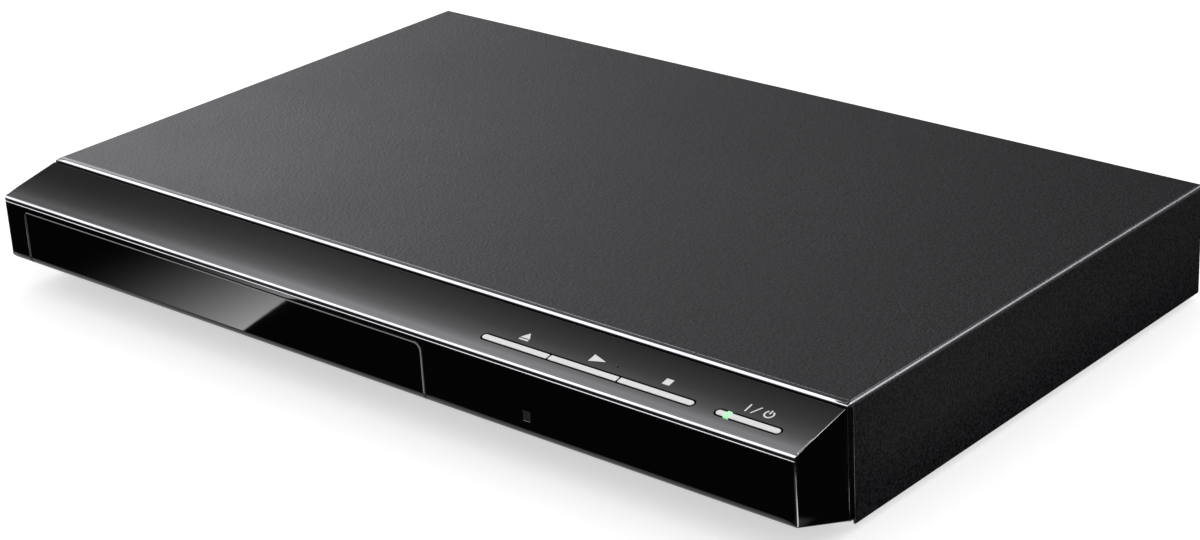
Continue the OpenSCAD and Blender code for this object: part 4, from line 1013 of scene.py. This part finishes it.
@dataclass(frozen=True)
class Marks:
    """Printed marks above the buttons and the raised dot, in metres along and up the slope."""

    thickness: float = 0.03 * MM
    sunk: float = 0.01 * MM
    middle: float = 11.5 * MM
    half: float = 1.6 * MM
    eject_x: float = 57.9 * MM
    eject_half: float = 1.7 * MM
    eject_foot: float = -0.7 * MM
    eject_bar: float = -1.1 * MM
    play_x: float = 84.0 * MM
    play_reach: Span = (-2.3 * MM, 2.8 * MM)
    stop_x: float = 108.7 * MM
    stop_half: float = 1.25 * MM
    line_x: float = 135.8 * MM
    line_half: float = 0.23 * MM
    slash_x: float = 138.5 * MM
    slash_half: float = 0.225 * MM
    slash_lean: float = 0.825 * MM
    power_x: float = 142.7 * MM
    ring: Span = (1.12 * MM, 1.6 * MM)
    ring_open: float = math.radians(34)
    ring_steps: int = 28
    stroke: Span = (0.1 * MM, 1.7 * MM)
    stroke_half: float = 0.24 * MM
    dot_x: float = 91.1 * MM
    dot_up: float = 11.3 * MM
    dot_radius: float = 0.42 * MM
    dot_flat: float = 0.55

    def bar(self, x: float, half: float, low: float, high: float, lean: float = 0.0) -> list[Point]:
        """Draw an upright bar.

        Args:
            x: Its middle.
            half: Half its width.
            low: Its foot, from the marks' middle line.
            high: Its top.
            lean: How far its top leans to the right, and its foot to the left.

        Returns:
            The bar's corners.
        """
        low, high = self.middle + low, self.middle + high
        foot, top = x - lean, x + lean
        return [(foot - half, low), (foot + half, low), (top + half, high), (top - half, high)]

    def outlines(self) -> dict[str, list[list[Point]]]:
        """Draw each mark as polygons.

        Returns:
            The polygons of each mark by its name.
        """
        x, half, foot = self.eject_x, self.eject_half, self.middle + self.eject_foot
        tip = [(x - half, foot), (x + half, foot), (x, self.middle + half)]
        back, point = (self.play_x + reach for reach in self.play_reach)
        play = [(back, self.middle - self.half), (point, self.middle), (back, self.middle + self.half)]
        stop = self.bar(self.stop_x, self.stop_half, -self.stop_half, self.stop_half)
        line = self.bar(self.line_x, self.line_half, -self.half, self.half)
        slash = self.bar(self.slash_x, self.slash_half, -self.half, self.half, self.slash_lean)
        return {"mark_eject": [tip, self.bar(x, half, -half, self.eject_bar)], "mark_play": [play],
                "mark_stop": [stop], "mark_line": [line], "mark_slash": [slash]}

    def draw(self, outlines: Sequence[Sequence[Point]]) -> Work:
        """Draw polygons flat, X along the slope's width and Y up it.

        Args:
            outlines: The polygons.

        Returns:
            The flat mesh work.
        """
        work = bmesh.new()
        for outline in outlines:
            work.faces.new([work.verts.new((x, up, 0)) for x, up in outline])
        return work

    def draw_power(self) -> Work:
        """Draw the power mark's stroke, and its open ring by spinning the ring's width.

        Returns:
            The flat mesh work.
        """
        work = self.draw([self.bar(self.power_x, self.stroke_half, *self.stroke)])
        centre = Vector((self.power_x, self.middle, 0))
        turn = Matrix.Rotation(self.ring_open, 3, "Z")
        ends = [work.verts.new(centre + turn @ Vector((0, radius, 0))) for radius in self.ring]
        width = work.edges.new(ends)
        bmesh.ops.spin(work, geom=[width, *ends], cent=centre, axis=(0, 0, 1),
                       angle=2 * (math.pi - self.ring_open), steps=self.ring_steps, use_merge=False)
        return work


class FrontPanel(SubAssembly):
    """Gloss moulding with its window, printed marks and raised dot."""

    shape = FrontShape()
    marks = Marks()
    # the moulding's outer edges get a painted highlight
    look = Dressing(round_by=0.15 * MM, cut_every=5 * MM, end_round=0.4 * MM, edge_highlight=GLOSS_EDGE_HIGHLIGHT)

    def build(self) -> None:
        """Finish the moulding and print its marks."""
        self.dress(GLOSS_BLACK, "front_bezel", how=self.look)
        self.shape.bow(bpy.data.meshes["front_bezel_dressed"])
        self.paint(WINDOW, "ir_window")
        for name, outlines in self.marks.outlines().items():
            self.print_mark(name, self.marks.draw(outlines))
        self.print_mark("mark_power", self.marks.draw_power())
        self.raised_dot()

    def settle(self, name: str, work: Work, finish: Finish, slot: str) -> None:
        """Turn mesh work into a piece that rides on the housing.

        Args:
            name: Name of the piece.
            work: The mesh work.
            finish: Its finish.
            slot: The record's material slot; not used.
        """
        bmesh.ops.recalc_face_normals(work, faces=work.faces)
        made = new_object(name, finished_mesh(name, work), finish)
        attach(made, "housing")
        self.made.append(name)

    def print_mark(self, name: str, work: Work) -> None:
        """Print one mark as thin raised ink.

        Args:
            name: Name of the piece.
            work: The mark drawn flat.
        """
        lifted = bmesh.ops.extrude_face_region(work, geom=work.faces[:])["geom"]
        rise = Vector((0, 0, self.marks.thickness + self.marks.sunk))
        bmesh.ops.translate(work, vec=rise, verts=[v for v in lifted if isinstance(v, bmesh.types.BMVert)])
        bmesh.ops.transform(work, matrix=self.shape.upright(-self.marks.sunk), verts=work.verts)
        bmesh.ops.remove_doubles(work, verts=work.verts, dist=0.001 * MM)
        self.settle(name, work, INK, "silver_cap")

    def raised_dot(self) -> None:
        """Raise the dot that a finger feels beside the play mark."""
        marks = self.marks
        work = bmesh.new()
        bmesh.ops.create_uvsphere(work, u_segments=20, v_segments=10, radius=marks.dot_radius)
        bmesh.ops.scale(work, vec=(1, 1, marks.dot_flat), verts=work.verts)
        bmesh.ops.translate(work, vec=(marks.dot_x, marks.dot_up, 0), verts=work.verts)
        bmesh.ops.transform(work, matrix=self.shape.upright(0.0), verts=work.verts)
        for face in work.faces:
            face.smooth = True
        self.settle("touch_dot", work, GLOSS_BLACK, "gloss_black")


class Buttons(SubAssembly):
    """Silver bars and the light pipe across the power button."""

    def build(self) -> None:
        """Finish the caps with softly rounded edges."""
        edges = RoundedEdge(least_turn=30, least_length=0.2 * MM)
        self.dress(CAP_SILVER, "eject_button", "play_button", "stop_button", "power_button",
                   how=Dressing(round_by=0.22 * MM, steps=3, edges=edges))
        self.dress(LIGHT_PIPE, "led_light_pipe", how=Dressing(round_by=0.06 * MM))


class TrayUnit(SubAssembly):
    """Sliding tray and its gloss front."""

    def build(self) -> None:
        """Finish the tray and its front."""
        edges = RoundedEdge(least_length=0.2 * MM)
        # the tray front's outer edges get a painted highlight
        self.dress(DOOR_BLACK, "tray_front",
                   how=Dressing(round_by=0.3 * MM, steps=3, edges=edges, edge_highlight=DOOR_EDGE_HIGHLIGHT))
        self.dress(TRAY_MATT, "disc_tray", how=Dressing(round_by=0.2 * MM))


# ---- the inside


class Loader(SubAssembly):
    """Loading mechanism with its lift, clamp and pickup."""

    def build(self) -> None:
        """Finish the frame, the gears, the traverse and the pickup."""
        small = Dressing(round_by=0.12 * MM)
        self.dress(LOADER_MATT, "loader_frame", how=small)
        self.dress(TRAVERSE_GREY, "traverse_frame", how=small)
        self.dress(ACETAL, "cam_slider", "clamper_puck", "drive_gear", "pulley_gear", "motor_pulley", how=small)
        self.dress(STEEL, "clamper_bridge", "clamper_plate", "loader_screws", "loading_motor",
                   "spindle_motor", "sled_motor", how=small)
        self.dress(TURNED, "guide_rods", "lead_screw")
        self.dress(MAGNET, "clamper_magnet", how=small)
        self.dress(BELT, "drive_belt")
        self.dress(COMPONENT, "turntable", how=small)
        self.dress(EXTRUDED, "pickup_body", how=small)
        self.dress(LENS, "objective_lens")


class Electronics(SubAssembly):
    """Boards, sockets, supply and cables."""

    def build(self) -> None:
        """Finish the boards and everything on them."""
        small = Dressing(round_by=0.1 * MM)
        self.dress(BROWN_BOARD, "front_board", "power_board")
        self.dress(GREEN_BOARD, "main_board")
        self.dress(COMPONENT, "tact_switches", "ir_receiver", "main_chips", how=small)
        self.dress(LAMP, "status_led")
        self.dress(PLATED, "hdmi_socket", "rca_sockets", how=small)
        self.dress(INSERTS, "rca_inserts", how=small)
        self.dress(WINDING, "power_transformer", how=small)
        self.dress(CAN_SLEEVE, "capacitors", how=small)
        self.dress(EXTRUDED, "heatsink", how=small)
        self.dress(STEEL, "board_screws")
        self.dress(RIBBON, "loader_ribbon", "front_ribbon")


# ---- camera and studio


@dataclass(frozen=True)
class Viewpoint:
    """Camera place and lens, in metres, degrees and millimetres of film."""

    place: tuple[float, float, float] = (0.5330, -0.5852, 0.3483)
    yaw: float = 39.46
    pitch: float = 23.40
    roll: float = 2.19
    lens: float = 81.21
    film: float = 36.0
    shift: float = -0.1
    clip: Span = (0.01, 20.0)

    def build(self) -> None:
        """Set the scene's camera."""
        data = bpy.data.cameras.new("camera")
        data.sensor_fit = "HORIZONTAL"
        data.sensor_width = self.film
        data.lens = self.lens
        data.shift_x = self.shift
        data.clip_start, data.clip_end = self.clip
        camera = bpy.data.objects.new("camera", data)
        bpy.context.scene.collection.objects.link(camera)
        place = Matrix.Translation(self.place)
        for turn, axis in ((self.yaw, "Z"), (90 - self.pitch, "X"), (-self.roll, "Z")):
            place @= Matrix.Rotation(math.radians(turn), 4, axis)
        camera.matrix_world = place
        bpy.context.scene.camera = camera


@dataclass(frozen=True)
class FloorShade:
    """How bright each stretch of the floor is where gloss mirrors it. Places are along X or Y."""

    plain: float = 0.005
    door: float = 4.8
    door_power: float = 3.2
    door_x: Span = (-172 * MM, -70 * MM)
    door_front: Span = (-220 * MM, -170 * MM)
    door_back: Span = (-123.5 * MM, -122.5 * MM)
    cut_slope: float = 0.276
    cut_y: float = -123.3 * MM
    cut_x: Span = (-72.9 * MM, -72.1 * MM)
    beside_x: Span = (172 * MM, 182 * MM)
    fading_y: Span = (0.0, 120 * MM)
    faded: float = 0.45
    fold_x: float = 160 * MM
    cover: float = 0.12
    cover_slope: float = 1.35
    cover_y: Span = (-82 * MM, -74 * MM)
    joint: Span = (0.12, 1.5)
    joint_slope: float = -0.74
    joint_front: Span = (-97 * MM, -93 * MM)
    joint_back: Span = (-74 * MM, -70 * MM)
    joint_y: Span = (-155 * MM, -145 * MM)
    joint_x: Span = (200 * MM, 205 * MM)
    lip: float = 0.6
    lip_y: Span = (-122 * MM, -116 * MM)
    lip_x: Span = (150 * MM, 160 * MM)

    def level(self, graph: Graph) -> Socket:
        """Shade the floor before the tray's front, beside the case and under the moulding's lip.

        Args:
            graph: The floor's nodes.

        Returns:
            The mirrored brightness.
        """
        x, y = graph.along(Axis.X), graph.along(Axis.Y)
        rising = graph.maths("POWER", graph.rise(x, self.door_x), self.door_power)
        cut = graph.fall(graph.slanted(x, y, self.cut_slope, self.cut_y), self.cut_x)
        near = graph.product(graph.rise(y, self.door_front), graph.fall(y, self.door_back))
        door = graph.product(rising, cut, near, self.door)
        beside = graph.rise(x, self.beside_x)
        from_fold = graph.slanted(y, x, self.cover_slope, self.fold_x)
        cover = graph.product(beside, graph.spread(y, self.fading_y, 1.0, self.faded),
                              graph.spread(from_fold, self.cover_y, 0.0, self.cover))
        to_joint = graph.slanted(y, x, self.joint_slope, self.fold_x)
        joint = graph.product(beside, graph.spread(to_joint, self.joint_front, *self.joint),
                              graph.fall(to_joint, self.joint_back), graph.rise(y, self.joint_y),
                              graph.fall(x, self.joint_x))
        lip = graph.product(graph.spread(y, self.lip_y, 0.0, self.lip), graph.fall(x, self.lip_x))
        return graph.total(door, cover, joint, lip, self.plain)


@dataclass(frozen=True)
class SoftLight:
    """A soft light of the surroundings, by its brightness along Y over Z and its share along X."""

    along: tuple[Point, ...]
    across: tuple[Point, ...]


@dataclass(frozen=True)
class Studio:
    """White sweep, soft light from above, and the shades that a polished front mirrors."""

    floor_size: float = 4.0
    floor_lift: float = 0.52
    floor_tone: Colour = (0.9, 0.9, 0.9)
    floor_shade: FloorShade = FloorShade()
    mirrored_level: float = 0.06
    plain_level: float = 0.95
    tint: Colour = (0.985, 0.965, 1.0)
    least_height: float = 0.05  # keeps Y over Z finite in level directions
    horizon: float = 0.1  # height of a direction below which no soft light shows
    edge_light: SoftLight = SoftLight(
        along=((-1.9, 0.0), (-1.5, 2.6), (0.35, 2.6), (0.375, 0.0)),
        across=((-0.88, 0.0), (-0.82, 1.0), (-0.52, 1.0), (-0.46, 0.0)))
    slope_light: SoftLight = SoftLight(
        along=((0.35, 0.0), (0.375, 4.2), (0.416, 3.4), (0.5, 2.0), (0.58, 1.32), (0.68, 0.92), (0.77, 0.52),
               (0.86, 0.36), (1.0, 0.22), (1.2, 0.0)),
        across=((-0.8, 0.25), (-0.75, 0.36), (-0.7, 0.93), (-0.66, 1.0), (-0.5, 1.1), (-0.3, 0.0)))
    cover_light: SoftLight = SoftLight(
        along=((1.1, 0.0), (1.4, 1.2), (1.7, 1.15), (2.0, 0.8), (2.4, 0.5), (5.0, 0.25)),
        across=((-0.95, 2.4), (-0.76, 2.25), (-0.7, 1.05), (-0.65, 0.55), (-0.55, 0.42), (-0.48, 0.1),
                (-0.3, 0.0)))
    fold_light: SoftLight = SoftLight(
        along=((0.4, 0.0), (0.5, 2.2), (1.4, 2.2), (1.7, 0.0)),
        across=((0.15, 0.0), (0.22, 1.0), (0.66, 1.0), (0.74, 0.0)))

    def build(self) -> None:
        """Make the floor and the surroundings."""
        self.floor()
        self.world()

    def floor(self) -> None:
        """Make the pale floor: white with its shadow from above, open from below, shaded to gloss."""
        work = bmesh.new()
        bmesh.ops.create_grid(work, x_segments=1, y_segments=1, size=self.floor_size)
        floor = new_object("floor", finished_mesh("floor", work))
        graph = Graph("floor")
        graph.set(Base_Color=self.floor_tone, Roughness=0.9, Specular_IOR_Level=0.1)
        ray = graph.add("LightPath").outputs
        dull = graph.shader.outputs[0]
        lift = graph.add("Emission", Strength=self.floor_lift).outputs[0]
        lit = graph.add("AddShader", dull, lift).outputs[0]
        seen = graph.mix(ray["Is Camera Ray"], dull, lit)
        mirrored = graph.add("Emission", Strength=self.floor_shade.level(graph)).outputs[0]
        shaded = graph.mix(ray["Is Glossy Ray"], seen, mirrored)
        behind = graph.add("NewGeometry").outputs["Backfacing"]
        light = graph.maths("MAXIMUM", ray["Is Diffuse Ray"], ray["Is Shadow Ray"])
        clear = graph.add("BsdfTransparent").outputs[0]
        final = graph.mix(graph.maths("MAXIMUM", behind, light), shaded, clear)
        graph.fill(graph.output, {"Surface": final})
        floor.data.materials.append(graph.material)

    def world(self) -> None:
        """Make the surroundings: a plain level of light, and the soft lights that gloss mirrors."""
        world = bpy.data.worlds.new("studio")
        bpy.context.scene.world = world
        world.use_nodes = True
        nodes = Nodes(world.node_tree, "Generated")
        x, y, z = (nodes.along(axis) for axis in Axis)
        back = nodes.maths("DIVIDE", y, nodes.maths("MAXIMUM", z, self.least_height))
        lights = [nodes.product(nodes.graded(back, light.along), nodes.graded(x, light.across))
                  for light in (self.edge_light, self.slope_light, self.cover_light, self.fold_light)]
        above = nodes.product(nodes.total(*lights), nodes.maths("GREATER_THAN", z, self.horizon))
        strength = nodes.total(above, self.mirrored_level)
        mirrored = nodes.add("Background", self.tint, strength).outputs[0]
        plain = nodes.add("Background", Strength=self.plain_level).outputs[0]
        pale = nodes.add("Background").outputs[0]
        ray = nodes.add("LightPath").outputs
        lit = nodes.mix(ray["Is Glossy Ray"], plain, mirrored)
        nodes.add("OutputWorld", nodes.mix(ray["Is Camera Ray"], lit, pale))


def main() -> None:
    """Set the camera, build the player's looks on its frame, and make the studio."""
    logging.basicConfig(level=logging.INFO, format="%(name)s %(message)s")
    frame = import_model()
    bpy.context.scene.view_settings.view_transform = "Standard"
    Viewpoint().build()
    for kind in (Case, FrontPanel, Buttons, TrayUnit, Loader, Electronics):
        group = kind(frame)
        group.build()
        group.report()
    Studio().build()
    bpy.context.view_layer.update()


if __name__ == "__main__":
    main()
